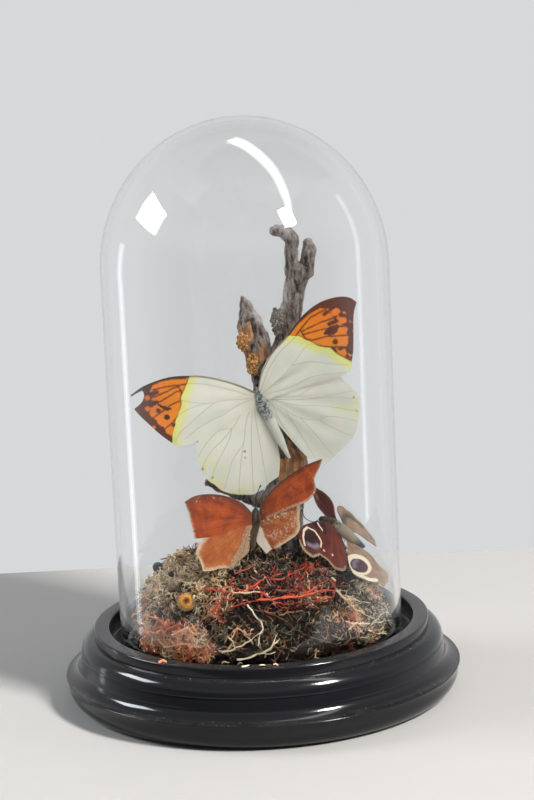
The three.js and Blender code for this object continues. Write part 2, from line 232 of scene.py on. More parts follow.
def curve_through(points, steps):
    """Points on a Catmull-Rom curve through the given ones, and how far along each one is."""
    rows = np.array(points, dtype=float)
    ends = np.vstack([2 * rows[0] - rows[1], rows, 2 * rows[-1] - rows[-2]])
    stations = np.linspace(0, len(rows) - 1, steps + 1)
    out = []
    for station in stations:
        i = min(int(station), len(rows) - 2)
        t = station - i
        a, b, c, d = ends[i:i + 4]
        out.append(0.5 * (2 * b + (c - a) * t + (2 * a - 5 * b + 4 * c - d) * t**2
                          + (3 * b - a - 3 * c + d) * t**3))
    return np.array(out), stations


def tube(name, points, radii, steps, sides):
    """A closed tube along a smooth curve, from points and radii in millimetres, rounded off at its ends."""
    line, stations = curve_through(points, steps)
    widths = np.interp(stations, np.linspace(0, len(points) - 1, len(radii)), radii)
    first, last = unit(np.array([line[0] - line[1], line[-1] - line[-2]]))
    tip, cheek, cheek_width = 0.45, 0.25, 0.8
    line = np.vstack([line[0] + first * widths[0] * tip, line[0] + first * widths[0] * cheek, line,
                      line[-1] + last * widths[-1] * cheek, line[-1] + last * widths[-1] * tip])
    widths = np.concatenate([widths[:1] * tip, widths[:1] * cheek_width, widths,
                             widths[-1:] * cheek_width, widths[-1:] * tip])
    curve = begin(bpy.ops.curve.primitive_nurbs_path_add, name).data
    curve.splines.clear()
    spline = curve.splines.new("POLY")
    spline.points.add(len(line) - 1)
    for point, spot, width in zip(spline.points, line, widths):
        point.co = (*(spot * MM), 1)
        point.radius = width
    curve.dimensions = "3D"
    curve.twist_mode = "MINIMUM"
    curve.bevel_depth = MM
    curve.bevel_resolution = sides // 2 - 2
    curve.use_fill_caps = True
    bpy.ops.object.convert(target="MESH")
    piece = bpy.context.object
    piece.name = piece.data.name = name
    clean_up(piece, 1e-7)
    return piece


def arc(centre_r, centre_z, radius_r, radius_z, start, end, steps):
    """Points of an ellipse in the (radius, height) plane, from one angle to another."""
    turn = np.linspace(start, end, steps + 1)
    return list(zip(centre_r + radius_r * np.cos(turn), centre_z + radius_z * np.sin(turn)))


def spun(name, chain, steps):
    """A chain of (radius, height) points that starts and ends on the axis, spun into a closed shell."""
    piece = begin(bpy.ops.mesh.primitive_circle_add, name, vertices=len(chain), radius=1)
    place(piece.data, [(r * MM, 0, z * MM) for r, z in chain])
    with editing("DESELECT"):
        bpy.ops.mesh.select_mode(type="EDGE")
    closing = {0, len(chain) - 1}
    for edge in piece.data.edges:
        edge.select = set(edge.vertices) == closing
    bpy.ops.object.mode_set(mode="EDIT")
    bpy.ops.mesh.delete(type="EDGE")
    bpy.ops.mesh.select_mode(type="VERT")
    bpy.ops.object.mode_set(mode="OBJECT")
    with editing():
        bpy.ops.mesh.spin(steps=steps, angle=2 * math.pi, center=(0, 0, 0), axis=(0, 0, 1))
    clean_up(piece)
    return piece


def set_field(mesh, name, values):
    """Stores one number or one triple for each vertex, for a material to read."""
    values = np.asarray(values, dtype=np.float32)
    kind, key = ("FLOAT_VECTOR", "vector") if values.ndim == 2 else ("FLOAT", "value")
    field = mesh.attributes.new(name, kind, "POINT")
    field.data.foreach_set(key, values.ravel())


# ------------------------------------------------------------------ material helpers


class Nodes:
    """Short words for the nodes that a material or the sky is built from."""

    def __init__(self, tree):
        self.tree = tree

    def node(self, kind, inputs=(), **settings):
        """Adds a node; inputs are (index or name, value or socket) pairs."""
        made = self.tree.nodes.new(kind)
        for key, value in settings.items():
            setattr(made, key, value)
        for key, value in inputs:
            self.plug(made.inputs[key], value)
        return made

    def plug(self, socket, value):
        if isinstance(value, bpy.types.NodeSocket):
            self.tree.links.new(value, socket)
        elif socket.type == "RGBA":
            socket.default_value = (*value, 1)
        else:
            socket.default_value = value

    def math(self, operation, a, b=0.0, c=0.0):
        return self.node("ShaderNodeMath", [(0, a), (1, b), (2, c)], operation=operation).outputs[0]

    def both(self, a, b):
        return self.math("MULTIPLY", a, b)

    def plus(self, a, b):
        return self.math("ADD", a, b)

    def more(self, a, b):
        return self.math("MAXIMUM", a, b)

    def step(self, value, low, high, top=1.0):
        """0 at low and top at high, smooth between; low may be the higher of the two."""
        flip = low > high
        return self.node("ShaderNodeMapRange", [
            ("Value", value), ("From Min", min(low, high)), ("From Max", max(low, high)),
            ("To Min", top if flip else 0.0), ("To Max", 0.0 if flip else top)],
            interpolation_type="SMOOTHSTEP").outputs[0]

    def split(self, vector):
        return self.node("ShaderNodeSeparateXYZ", [(0, vector)]).outputs


class Shade(Nodes):
    """A node material that is written from the shader backwards."""

    def __init__(self, name, **sockets):
        self.material = bpy.data.materials.new(name)
        self.material.use_nodes = True
        super().__init__(self.material.node_tree)
        self.shader = self.tree.nodes["Principled BSDF"]
        self.set(**sockets)

    def set(self, **sockets):
        """Sets or links the shader's sockets: base_color is Base Color, and so on."""
        for key, value in sockets.items():
            self.plug(self.shader.inputs[key.replace("_", " ").title().replace("Ior", "IOR")], value)
        return self

    def coords(self, scale=(1, 1, 1)):
        """Object coordinates in millimetres, stretched by scale."""
        where = self.node("ShaderNodeTexCoord").outputs["Object"]
        size = tuple(s / MM for s in scale)
        return self.node("ShaderNodeMapping", [("Vector", where), ("Scale", size)]).outputs[0]

    def noise(self, scale, detail=4, rough=0.55, stretch=(1, 1, 1), distortion=0.0):
        """Noise with this many waves to the millimetre."""
        return self.node("ShaderNodeTexNoise", [
            ("Vector", self.coords(stretch)), ("Scale", scale), ("Detail", detail), ("Roughness", rough),
            ("Distortion", distortion)]).outputs["Fac"]

    def cells(self, scale):
        return self.node("ShaderNodeTexVoronoi", [("Vector", self.coords()), ("Scale", scale)]
                         ).outputs["Distance"]

    def field(self, name):
        return self.node("ShaderNodeAttribute", attribute_name=name).outputs["Fac"]

    def inside(self, mark, soft=0.2, grit=None, top=1.0):
        """top inside a mark of the wing and 0 outside, over twice this many millimetres."""
        depth = self.field(mark)
        if grit is not None:
            depth = self.plus(depth, grit)
        return self.step(depth, MARK_REACH - soft, MARK_REACH + soft, top)

    def ramp(self, value, stops):
        """A colour ramp through (position, colour) stops."""
        made = self.node("ShaderNodeValToRGB", [(0, value)])
        band = made.color_ramp
        while len(band.elements) < len(stops):
            band.elements.new(0.5)
        for element, (position, colour) in zip(band.elements, stops):
            element.position = position
            element.color = (*colour, 1)
        return made.outputs[0]

    def mix(self, amount, first, second):
        """first where amount is 0 and second where it is 1."""
        made = self.node("ShaderNodeMix", data_type="RGBA")
        for socket, value in ((made.inputs[0], amount), (made.inputs[6], first), (made.inputs[7], second)):
            self.plug(socket, value)
        return made.outputs[2]

    def layers(self, look, *coats):
        """The colour under coats of (amount, colour), laid on one after the other."""
        for amount, over in coats:
            look = self.mix(amount, look, over)
        return look

    def between(self, amount, first, second):
        """A number from first to second."""
        return self.math("MULTIPLY_ADD", amount, second - first, first)

    def swing(self, amount, half):
        """A number from -half to half."""
        return self.math("MULTIPLY_ADD", amount, 2 * half, -half)

    def ribs(self, rib=1.0, edge=1.0):
        """How much of a vein's colour and of the front edge's shows, each up to its own top."""
        vein = self.field("vein")
        return self.step(vein, 0.2, 0.8, rib), self.step(vein, 1.2, 1.8, edge)

    def bump(self, height, distance, strength=1.0, under=None):
        """Relief of this many millimetres."""
        inputs = [("Height", height), ("Distance", distance * MM), ("Strength", strength)]
        if under is not None:
            inputs.append(("Normal", under))
        return self.node("ShaderNodeBump", inputs).outputs[0]

    def facing_up(self):
        """1 on a level top, 0 on a wall, and below 0 underneath."""
        return self.split(self.node("ShaderNodeNewGeometry").outputs["Normal"])[2]


def rgb(colour):
    """A colour property as a plain triple."""
    return tuple(colour)[:3]


def palette(settings, *names):
    """Several colours of a group of settings as plain triples."""
    return [rgb(getattr(settings, name)) for name in names]


def toned(colour, *factors):
    """The colour with each channel scaled; one factor does for all three."""
    return tuple(min(1, c * k) for c, k in zip(rgb(colour), factors * 3 if len(factors) == 1 else factors))


# ------------------------------------------------------------------ settings


def colour(name, description, default):
    return bpy.props.FloatVectorProperty(name=name, description=description, default=default, size=3,
                                         subtype="COLOR", min=0, max=1)


def length(name, description, default_mm):
    return bpy.props.FloatProperty(name=name, description=description, default=default_mm * MM,
                                   unit="LENGTH", min=0, precision=4)


def number(name, description, default, **limits):
    return bpy.props.FloatProperty(name=name, description=description, default=default, min=0, **limits)


class StageSettings(bpy.types.PropertyGroup):
    floor_colour: colour("Floor", "Colour of the floor", (0.255, 0.25, 0.245))
    floor_width: length("Floor width", "From side to side", 320)
    floor_front: length("Floor front", "How far it reaches forwards", 146)
    floor_back: length("Floor back", "How far it reaches backwards", 190)
    sky_colour: colour("Sky", "Colour of the soft light all round", (0.97, 0.98, 1.0))
    sky_strength: number("Sky strength", "Strength of that light", 0.9)
    window_power: number("Window", "Power of the window in watts", 30)
    skylight_power: number("Skylight", "Power of the narrow skylight in watts", 10)
    lamp_power: number("Lamp", "Power of the lamp on the right in watts", 102)
    strip_power: number("Strip", "Power of the tall strip low on the left in watts", 0.8)
    lens: number("Lens", "Focal length in millimetres", 122.06)


class BaseSettings(bpy.types.PropertyGroup):
    lacquer: colour("Lacquer", "Colour of the lacquer", (0.006, 0.0062, 0.0075))
    dust: colour("Dust", "Colour of the dust on the level places", (0.16, 0.13, 0.11))
    shine: number("Roughness", "Roughness of clean lacquer", 0.12, max=1)


class GlassSettings(bpy.types.PropertyGroup):
    tint: colour("Tint", "Colour of the glass", (0.985, 0.993, 0.99))


class WoodSettings(bpy.types.PropertyGroup):
    bark_dark: colour("Dark bark", "Deep in the cracks", (0.035, 0.024, 0.018))
    bark_light: colour("Light bark", "On the ridges", (0.34, 0.285, 0.26))
    bare_wood: colour("Bare wood", "Where the bark is gone", (0.5, 0.24, 0.105))
    relief: length("Relief", "Depth of the bark", 1.05)


class ButterflySettings(bpy.types.PropertyGroup):
    wing: length("Wing", "Thickness of a wing", 0.24)
    ivory: colour("Ivory", "Ground of the white wings", (0.95, 0.935, 0.81))
    lemon: colour("Lemon", "Fringe between ivory and orange", (0.9, 0.9, 0.27))
    tip_orange: colour("Tip orange", "Tips of the white butterfly's forewings", (0.86, 0.23, 0.016))
    brown: colour("Brown", "Borders, spots and veins", (0.1, 0.022, 0.009))
    rust: colour("Rust", "Forewings of the orange butterfly", (0.45, 0.085, 0.018))
    tan: colour("Tan", "Hindwings of the orange butterfly", (0.49, 0.155, 0.045))
    cream: colour("Cream", "Margins and folds", (0.83, 0.72, 0.55))
    maroon: colour("Maroon", "Ground of the eyed butterfly", (0.12, 0.012, 0.004))


class MossSettings(bpy.types.PropertyGroup):
    strand: length("Strand", "Radius of a thick strand at its root", 0.4)
    cream: colour("Cream", "Reindeer moss", (0.96, 0.75, 0.48))
    pink: colour("Pink", "Pink dyed moss", (0.92, 0.25, 0.13))
    red: colour("Red", "Red dyed moss", (0.56, 0.055, 0.032))
    dark: colour("Dark", "Fibres of the bed", (0.026, 0.018, 0.014))


class DomeSettings(bpy.types.PropertyGroup):
    stage: bpy.props.PointerProperty(type=StageSettings)
    base: bpy.props.PointerProperty(type=BaseSettings)
    glass: bpy.props.PointerProperty(type=GlassSettings)
    wood: bpy.props.PointerProperty(type=WoodSettings)
    butterfly: bpy.props.PointerProperty(type=ButterflySettings)
    moss: bpy.props.PointerProperty(type=MossSettings)


# ------------------------------------------------------------------ stage

CAMERA_PLACE = (0, -1056, 351.1)
CAMERA_PITCH = -12.35
CAMERA_YAW = 0.352
CAMERA_ROLL = -2.646

COOL = (0.93, 0.97, 1.0)
WARM = (1.0, 0.98, 0.94)
# Each light: its place, what it looks at, its size, its tint, and its turn in degrees.
PANEL_LIGHTS = (
    ("Window", (-1500, 150, 1000), (0, 0, 150), (800, 450), COOL, 0),
    ("Skylight", (606, -100, 1700), (606, -100, 0), (2316, 200), (1.0, 0.98, 0.95), -53),
    ("Lamp", (1011, -1011, 1300), (0, 0, 110), (300, 420), WARM, 0),
    ("Strip", (-1170, 572, -150), (0, 0, 110), (110, 1000), COOL, 0),
)


def camera_matrix():
    """Where the camera stands and how it is turned."""
    pitch, yaw, roll = (math.radians(a) for a in (CAMERA_PITCH, CAMERA_YAW, CAMERA_ROLL))
    ahead = Vector((math.sin(yaw) * math.cos(pitch), math.cos(yaw) * math.cos(pitch), math.sin(pitch)))
    level = ahead.cross(Vector((0, 0, 1))).normalized()
    upright = level.cross(ahead)
    right = math.cos(roll) * level + math.sin(roll) * upright
    above = math.cos(roll) * upright - math.sin(roll) * level
    turned = Matrix((right, above, -ahead)).transposed().to_4x4()
    return Matrix.Translation(Vector(CAMERA_PLACE) * MM) @ turned


def add_panel_light(name, place_mm, target_mm, size, tint, turn, power):
    """A flat rectangular light that looks at a point, turned by degrees about that line."""
    bpy.ops.object.light_add(type="AREA", location=Vector(place_mm) * MM)
    light = bpy.context.object
    light.name = name
    light.data.shape = "RECTANGLE"
    light.data.size, light.data.size_y = (s * MM for s in size)
    light.data.energy = power
    light.data.color = tint
    look = (Vector(target_mm) - Vector(place_mm)).normalized()
    turned = look.to_track_quat("-Z", "Y").to_matrix() @ Matrix.Rotation(math.radians(turn), 3, "Z")
    light.rotation_euler = turned.to_euler()


def add_sky(scene, settings):
    """Soft light, strongest low down at the back and the sides, and hardly any from low down in front."""
    world = bpy.data.worlds.new("Soft sky")
    scene.world = world
    world.use_nodes = True
    sky = Nodes(world.node_tree)
    _, y, z = sky.split(sky.node("ShaderNodeTexCoord").outputs["Generated"])
    light = sky.plus(sky.step(z, 0.85, 0.25, 0.5), 0.28)
    before = sky.both(sky.step(y, 0.3, -0.65), sky.step(z, 0.5, 0.12, 0.93))
    background = world.node_tree.nodes["Background"]
    sky.plug(background.inputs["Color"], rgb(settings.sky_colour))
    sky.plug(background.inputs["Strength"], sky.both(sky.both(light, sky.math("SUBTRACT", 1.0, before)),
                                                     settings.sky_strength))


class DOME_OT_add_stage(bpy.types.Operator):
    """Adds the camera, the soft lights and the pale floor"""

    bl_idname = "dome.add_stage"
    bl_label = "Add Stage"

    def execute(self, context):
        scene = context.scene
        settings = scene.dome.stage
        bpy.ops.object.select_all(action="DESELECT")
        bpy.ops.object.camera_add()
        camera = bpy.context.object
        camera.name = "Camera"
        camera.matrix_world = camera_matrix()
        camera.data.sensor_width = 36
        camera.data.lens = settings.lens
        camera.data.clip_start, camera.data.clip_end = 0.05, 20
        scene.camera = camera
        add_sky(scene, settings)
        for name, *layout in PANEL_LIGHTS:
            add_panel_light(name, *layout, getattr(settings, f"{name.lower()}_power"))
        deep = settings.floor_front + settings.floor_back
        floor = begin(bpy.ops.mesh.primitive_plane_add, "Floor", size=1,
                      location=(0, (settings.floor_back - settings.floor_front) / 2, 0))
        bpy.ops.transform.resize(value=(settings.floor_width, deep, 1))
        shade = Shade("Floor paper", roughness=0.85)
        shade.set(base_color=shade.mix(shade.noise(0.01, 4), toned(settings.floor_colour, 0.97),
                                       rgb(settings.floor_colour)))
        floor.data.materials.append(shade.material)
        scene.view_settings.view_transform = "Standard"
        scene.cycles.use_denoising = True
        scene.cycles.transmission_bounces = scene.cycles.max_bounces = 16
        return {"FINISHED"}


# ------------------------------------------------------------------ base and glass


def base_chain():
    """The base's outline, from the middle of the underside to the middle of the top."""
    quarter = math.pi / 2
    reach = BASE_RADIUS - 0.8 - FOOT_RADIUS
    shoulder_foot = SHOULDER_TOP - SHOULDER_DROP
    ring_round = 0.7
    lip = 0.35
    return [
        (0, 0), (FOOT_RADIUS - 12, 0),
        *arc(FOOT_RADIUS, FOOT_HEIGHT, reach, FOOT_HEIGHT, -quarter, 0, 22),
        (BASE_RADIUS - 0.55, BASE_EDGE_HEIGHT - 1.3),
        *arc(BASE_RADIUS - lip, BASE_EDGE_HEIGHT - 0.2, lip, lip, -quarter * 0.4, quarter, 5),
        *arc(BASE_RADIUS, BASE_EDGE_HEIGHT + COVE_DROP, BASE_RADIUS - NECK_RADIUS, COVE_DROP - 0.1,
             -quarter - 0.12, -2 * quarter, 18),
        *arc(NECK_RADIUS - 0.8, shoulder_foot - 0.6, 0.3, 0.3, -quarter, 0, 3),
        *arc(RING_OUTER, shoulder_foot, SHOULDER_DROP, SHOULDER_DROP, 0, quarter, 20),
        (RING_OUTER, RING_TOP - ring_round),
        *arc(RING_OUTER - ring_round, RING_TOP - ring_round, ring_round, ring_round, 0.3, quarter, 5),
        *arc(RING_INNER + ring_round, RING_TOP - ring_round, ring_round, ring_round, quarter, 2 * quarter, 6),
        (RING_INNER, GROOVE_FLOOR + 0.4), (RING_INNER - 0.4, GROOVE_FLOOR),
        (PLATFORM_RADIUS + 0.4, GROOVE_FLOOR), (PLATFORM_RADIUS, GROOVE_FLOOR + 0.4),
        (PLATFORM_RADIUS, PLATFORM_TOP - 0.5), (PLATFORM_RADIUS - 0.5, PLATFORM_TOP),
        (PLATFORM_RADIUS - 12, PLATFORM_TOP), (0, PLATFORM_TOP),
    ]


def lacquer_material(settings):
    shade = Shade("Black lacquer", specular_ior_level=0.2, coat_weight=0.14, coat_roughness=0.08)
    smears = shade.noise(0.05, 5, 0.6, stretch=(1, 1, 2))
    specks = shade.step(shade.noise(1.3, 2, 0.5), 0.66, 0.74)
    level = shade.step(shade.facing_up(), 0.82, 0.99)
    film = shade.both(level, shade.step(shade.noise(0.12, 6, 0.7), 0.3, 0.75))
    dusty = shade.more(shade.both(film, 0.06), shade.both(specks, shade.both(level, 0.6)))
    shade.set(
        base_color=shade.mix(dusty, rgb(settings.lacquer), rgb(settings.dust)),
        roughness=shade.plus(shade.between(smears, settings.shine * 0.7, settings.shine * 1.5),
                             shade.both(dusty, 0.9)),
        normal=shade.bump(shade.noise(0.06, 3, 0.5), 0.12, 0.35,
                          under=shade.bump(shade.noise(1.1, 3, 0.5, stretch=(1, 1, 0.3)), 0.006, 0.5)),
    )
    return shade.material


class DOME_OT_add_base(bpy.types.Operator):
    """Adds the turned base with its ring, groove and platform"""

    bl_idname = "dome.add_base"
    bl_label = "Add Base"

    def execute(self, context):
        piece = spun("turned_base", base_chain(), 192)
        smooth(piece, 35)
        hand_over(piece, ["base"], [lacquer_material(context.scene.dome.base)])
        return {"FINISHED"}


def glass_chain():
    """The glass's outline, from the top outside down, under the rim and up inside to the top."""
    quarter = math.pi / 2
    inner = GLASS_RADIUS - GLASS_WALL
    half = GLASS_WALL / 2
    outside = arc(0, GLASS_SHOULDER, GLASS_RADIUS, GLASS_CAP, quarter, 0, 48)
    inside = arc(0, GLASS_SHOULDER, inner, GLASS_CAP - GLASS_WALL, 0, quarter, 48)
    outside[0] = (0, outside[0][1])
    inside[-1] = (0, inside[-1][1])
    wall = [GLASS_SHOULDER - 8 * k for k in range(1, 18)]
    rim = arc(GLASS_RADIUS - half, GROOVE_FLOOR + half, half, half, 0, -2 * quarter, 10)
    return [*outside, *((GLASS_RADIUS, z) for z in wall), *rim,
            *((inner, z) for z in reversed(wall)), *inside]


def ripple_glass(mesh):
    """Slow waves of blown glass, and faint rings round the crown; both fade out at the rim and the top."""
    rows = places(mesh) / MM
    flat = np.hypot(rows[:, 0], rows[:, 1])
    high = rows[:, 2]
    waves = wander(rows, RIPPLE_WAVES) * RIPPLE
    rings = np.sin(flat / CROWN_RING) * CROWN_RELIEF * np.clip((high - 180) / 40, 0, 1)
    fade = np.clip((high - RING_TOP + 4) / 20, 0, 1) * np.clip(flat / 12, 0, 1)
    outward = rows.copy()
    outward[:, 2] = np.maximum(0, high - GLASS_SHOULDER)
    place(mesh, (rows + unit(outward) * np.minimum((waves + rings) * fade, RIPPLE_MOST)[:, None]) * MM)


class DOME_OT_add_glass(bpy.types.Operator):
    """Adds the blown glass dome"""

    bl_idname = "dome.add_glass"
    bl_label = "Add Glass Dome"

    def execute(self, context):
        settings = context.scene.dome.glass
        piece = spun("blown_glass", glass_chain(), 160)
        ripple_glass(piece.data)
        smooth(piece, 60)
        shade = Shade("Clear glass", base_color=rgb(settings.tint), roughness=0.0,
                      transmission_weight=1.0, ior=1.46)
        hand_over(piece, ["glass_dome"], [shade.material])
        return {"FINISHED"}


# ------------------------------------------------------------------ branch and lichens


def bark_height(rows):
    """Relief of the bark from about -1 to 1: long ridges along the limb, cracks, knobs and crumbs."""
    return (0.5 * wander(rows, (0.6, 0.6, 0.13)) + 0.4 * wander(rows, (1.3, 1.3, 0.34), (9, 0, 0))
            + 0.45 * wander(rows, (0.33, 0.33, 0.3), (0, 5, 0))
            + 0.25 * wander(rows, (1.9, 1.9, 1.5), (0, 5, 0)))


def wood_material(settings):
    shade = Shade("Driftwood", specular_ior_level=0.3)
    streaks = shade.noise(0.9, 7, 0.65, stretch=(1, 1, 0.22), distortion=0.6)
    blotches = shade.noise(0.16, 4, 0.6, stretch=(1, 1, 0.6))
    crumbs = shade.noise(3.2, 5, 0.7)
    relief = shade.field("relief")
    dark, light = rgb(settings.bark_dark), rgb(settings.bark_light)
    halfway = tuple(0.5 * (a + b) for a, b in zip(dark, light))
    bark = shade.layers(
        shade.ramp(streaks, [(0.3, dark), (0.47, halfway), (0.7, light)]),
        (shade.step(blotches, 0.46, 0.66), (0.42, 0.385, 0.385)),
        (shade.step(relief, 0.05, -0.45), dark),
        (shade.step(relief, 0.25, 0.7, 0.6), (0.45, 0.39, 0.33)),
    )
    wood = shade.layers(
        shade.ramp(streaks, [(0.28, (0.1, 0.036, 0.016)), (0.5, rgb(settings.bare_wood)),
                             (0.72, (0.66, 0.38, 0.19))]),
        (shade.step(shade.noise(0.3, 4, 0.6, stretch=(1, 1, 0.5)), 0.42, 0.62, 0.75), (0.19, 0.1, 0.06)),
    )
    bare = shade.step(shade.plus(shade.field("bare"), shade.both(blotches, 0.35)), 0.5, 0.7)
    shade.set(
        base_color=shade.mix(bare, bark, wood),
        roughness=shade.between(blotches, 0.75, 0.95),
        normal=shade.bump(shade.plus(streaks, shade.both(crumbs, 0.5)), 0.35, 0.9),
    )
    return shade.material


class DOME_OT_add_branch(bpy.types.Operator):
    """Adds the driftwood, grown together from its limbs"""

    bl_idname = "dome.add_branch"
    bl_label = "Add Branch"

    def execute(self, context):
        settings = context.scene.dome.wood
        limbs = [tube(name, points, radii, 40, 24) for name, (points, radii) in LIMBS.items()]
        piece = join("driftwood_branch", limbs)
        modify(piece, "REMESH", mode="VOXEL", voxel_size=0.38 * MM, use_smooth_shade=True)
        modify(piece, "SMOOTH", factor=0.5, iterations=6)
        mesh = piece.data
        rows = places(mesh)
        normals = np.empty(len(rows) * 3)
        mesh.vertices.foreach_get("normal", normals)
        relief = bark_height(rows / MM)
        place(mesh, rows + normals.reshape(-1, 3) * (relief * settings.relief)[:, None])
        rows /= MM
        bare = np.zeros(len(rows))
        ragged = 0.8 * wander(rows, (1 / 2.2, 1 / 2.2, 1 / 5))
        for centre, radius in BARE_PATCHES:
            away = np.linalg.norm((rows - centre) / radius, axis=1) - ragged
            bare = np.maximum(bare, np.clip(1.5 - away, 0, 1))
        set_field(mesh, "relief", relief)
        set_field(mesh, "bare", bare)
        smooth(piece, 80)
        hand_over(piece, list(LIMBS), [wood_material(settings)])
        return {"FINISHED"}


def lichen_material(name, low, middle, high):
    shade = Shade(name, roughness=0.95, specular_ior_level=0.2)
    grain = shade.noise(1.4, 5, 0.7)
    pits = shade.cells(1.6)
    shade.set(
        base_color=shade.ramp(shade.math("MULTIPLY_ADD", pits, -0.35, grain),
                              [(0.12, low), (0.34, middle), (0.58, high)]),
        normal=shade.bump(shade.noise(2.5, 5, 0.7), 0.25, 0.8),
    )
    return shade.material


def add_grain(centre, radii, dice):
    """One rough grain of a crust."""
    way = Vector((dice.gauss(0, 1), dice.gauss(0, 1), dice.gauss(0, 1))).normalized()
    reach = dice.uniform(0.55, 0.9)
    spot = Vector(centre) + Vector(a * b * reach for a, b in zip(way, radii))
    grain = begin(bpy.ops.mesh.primitive_ico_sphere_add, "grain", subdivisions=2,
                  radius=dice.uniform(0.35, 0.8) * MM, location=spot * MM,
                  rotation=(dice.uniform(0, 3), dice.uniform(0, 3), 0))
    bpy.ops.transform.resize(value=(dice.uniform(0.7, 1.3), 1, dice.uniform(0.7, 1.3)))
    return grain


class DOME_OT_add_lichens(bpy.types.Operator):
    """Adds the crumbly crusts of lichen on the wood"""

    bl_idname = "dome.add_lichens"
    bl_label = "Add Lichens"

    def execute(self, context):
        dice = random.Random(31)
        grey = lichen_material("Grey lichen", (0.06, 0.05, 0.045), (0.26, 0.235, 0.2), (0.52, 0.48, 0.42))
        ochre = lichen_material("Ochre lichen", (0.07, 0.03, 0.012), (0.5, 0.25, 0.08), (0.85, 0.56, 0.26))
        for node, (centre, radii, grains) in LICHENS.items():
            piece = join(node.replace("lichen", "crust"),
                         [add_grain(centre, radii, dice) for _ in range(grains)])
            bpy.ops.object.transform_apply(location=True, rotation=True, scale=True)
            modify(piece, "REMESH", mode="VOXEL", voxel_size=0.2 * MM, use_smooth_shade=True)
            rows = places(piece.data) / MM
            bumps = 0.16 * wander(rows, 1 / 0.7)
            place(piece.data, (rows + unit(rows - centre) * bumps[:, None]) * MM)
            smooth(piece, 80)
            hand_over(piece, [node], [grey if node == "grey_lichen" else ochre])
        return {"FINISHED"}


# ------------------------------------------------------------------ butterflies

# A mark's field is this high on its edge, higher inside and lower outside, in millimetres.
MARK_REACH = 8
MARKS = ("tip", "dark", "lemon", "fold", "fleck", "margin", "eye", "ring", "violet", "bar", "dots", "shade")
TOP_OF_FORE, TOP_OF_HIND, UNDERSIDE, COAT = range(4)
VEIN, FRONT_EDGE = 1, 2
VEIN_RADIUS = 0.23
HAIR_RADIUS = 0.06


def wing_axes(wing):
    """The outward, rearward and back-side directions of a wing's plane."""
    hinge, tip, corner = (Vector(wing[key]) for key in ("hinge", "tip", "corner"))
    outward = (tip - hinge).normalized()
    normal = outward.cross(corner - hinge).normalized()
    return np.array((outward, normal.cross(outward), normal))


def round_off(outline, steps=5, sharp=50):
    """The outline with its gentle corners rounded and its sharp ones kept."""
    points = [Vector(p) for p in outline]
    count = len(points)
    ways = []
    for i, point in enumerate(points):
        before, after = point - points[i - 1], points[(i + 1) % count] - point
        turn = before.angle(after)
        ways.append(Vector((0, 0)) if turn > math.radians(sharp) else (before + after) / 2)
    out = []
    for i, point in enumerate(points):
        after = points[(i + 1) % count]
        for k in range(steps):
            t = k / steps
            out.append(point * (2 * t**3 - 3 * t**2 + 1) + ways[i] * (t**3 - 2 * t**2 + t)
                       + after * (3 * t**2 - 2 * t**3) + ways[(i + 1) % count] * (t**3 - t**2))
    return out


def nearest_on(flat, line):
    """The distance of each place from an open line, and the side it lies on: 1 on the left as it runs."""
    best = np.full(len(flat), 1e9)
    side = np.zeros(len(flat))
    for start, end in zip(np.array(line[:-1], dtype=float), np.array(line[1:], dtype=float)):
        along = end - start
        share = np.clip((flat - start) @ along / (along @ along), 0, 1)
        gone = np.linalg.norm(flat - start - share[:, None] * along, axis=1)
        cross = along[0] * (flat[:, 1] - start[1]) - along[1] * (flat[:, 0] - start[0])
        side = np.where(gone < best - 1e-9, np.sign(cross), side)
        best = np.minimum(best, gone)
    return best, side


def left_of(*line):
    """A mark on the left of a line as it runs."""
    return lambda flat: -np.multiply(*nearest_on(flat, line))


def right_of(*line):
    """A mark on the right of a line as it runs."""
    return lambda flat: np.multiply(*nearest_on(flat, line))


def stroke(half, *line):
    """A mark drawn along a line, this many millimetres to either side."""
    return lambda flat: nearest_on(flat, line)[0] - half


def spots(*rounds):
    """A mark of (x, y, radius) spots."""
    return lambda flat: np.min([np.hypot(flat[:, 0] - x, flat[:, 1] - y) - r for x, y, r in rounds], axis=0)


def oval(centre, radii, turn):
    """A mark in the shape of an oval, turned by degrees."""
    angle = math.radians(turn)
    axes = np.array([[math.cos(angle), -math.sin(angle)], [math.sin(angle), math.cos(angle)]])
    return lambda flat: (np.linalg.norm((flat - centre) @ axes / radii, axis=1) - 1) * min(radii)


def either(*marks):
    return lambda flat: np.min([mark(flat) for mark in marks], axis=0)


def without(mark, hole):
    return lambda flat: np.maximum(mark(flat), -hole(flat))


def store_marks(mesh, flat, marks, vein):
    """Stores every mark's field on the mesh, and whether it is a vein or the wing's front edge."""
    for name in MARKS:
        depth = np.zeros(len(flat))
        if name in marks:
            depth = np.clip(MARK_REACH - marks[name](flat), 0, 4 * MARK_REACH)
        set_field(mesh, name, depth)
    set_field(mesh, "vein", np.full(len(flat), vein))
    set_field(mesh, "reach", np.hypot(flat[:, 0], flat[:, 1]))


def seat(rows, wing, camber):
    """Lays flat (x, y, height) rows on the wing's plane, arched a little and softly waved."""
    x, y, high = rows.T
    reach = np.hypot(x, y)
    wave = 0.14 * np.sin(np.arctan2(y, x) * 19) * np.clip(reach / 16, 0, 1)
    slow = wander(rows, (1 / 13, 1 / 13, 0), (0, 0, wing["hinge"][0]))
    arch = camber * ((reach / 40) ** 2 - 0.45 * slow * np.clip(reach / 12, 0, 1))
    lift = wing["facing"] * (wing["level"] * 0.25 + wave - arch) + high
    return np.column_stack([x, y, lift]) @ wing_axes(wing) + wing["hinge"]


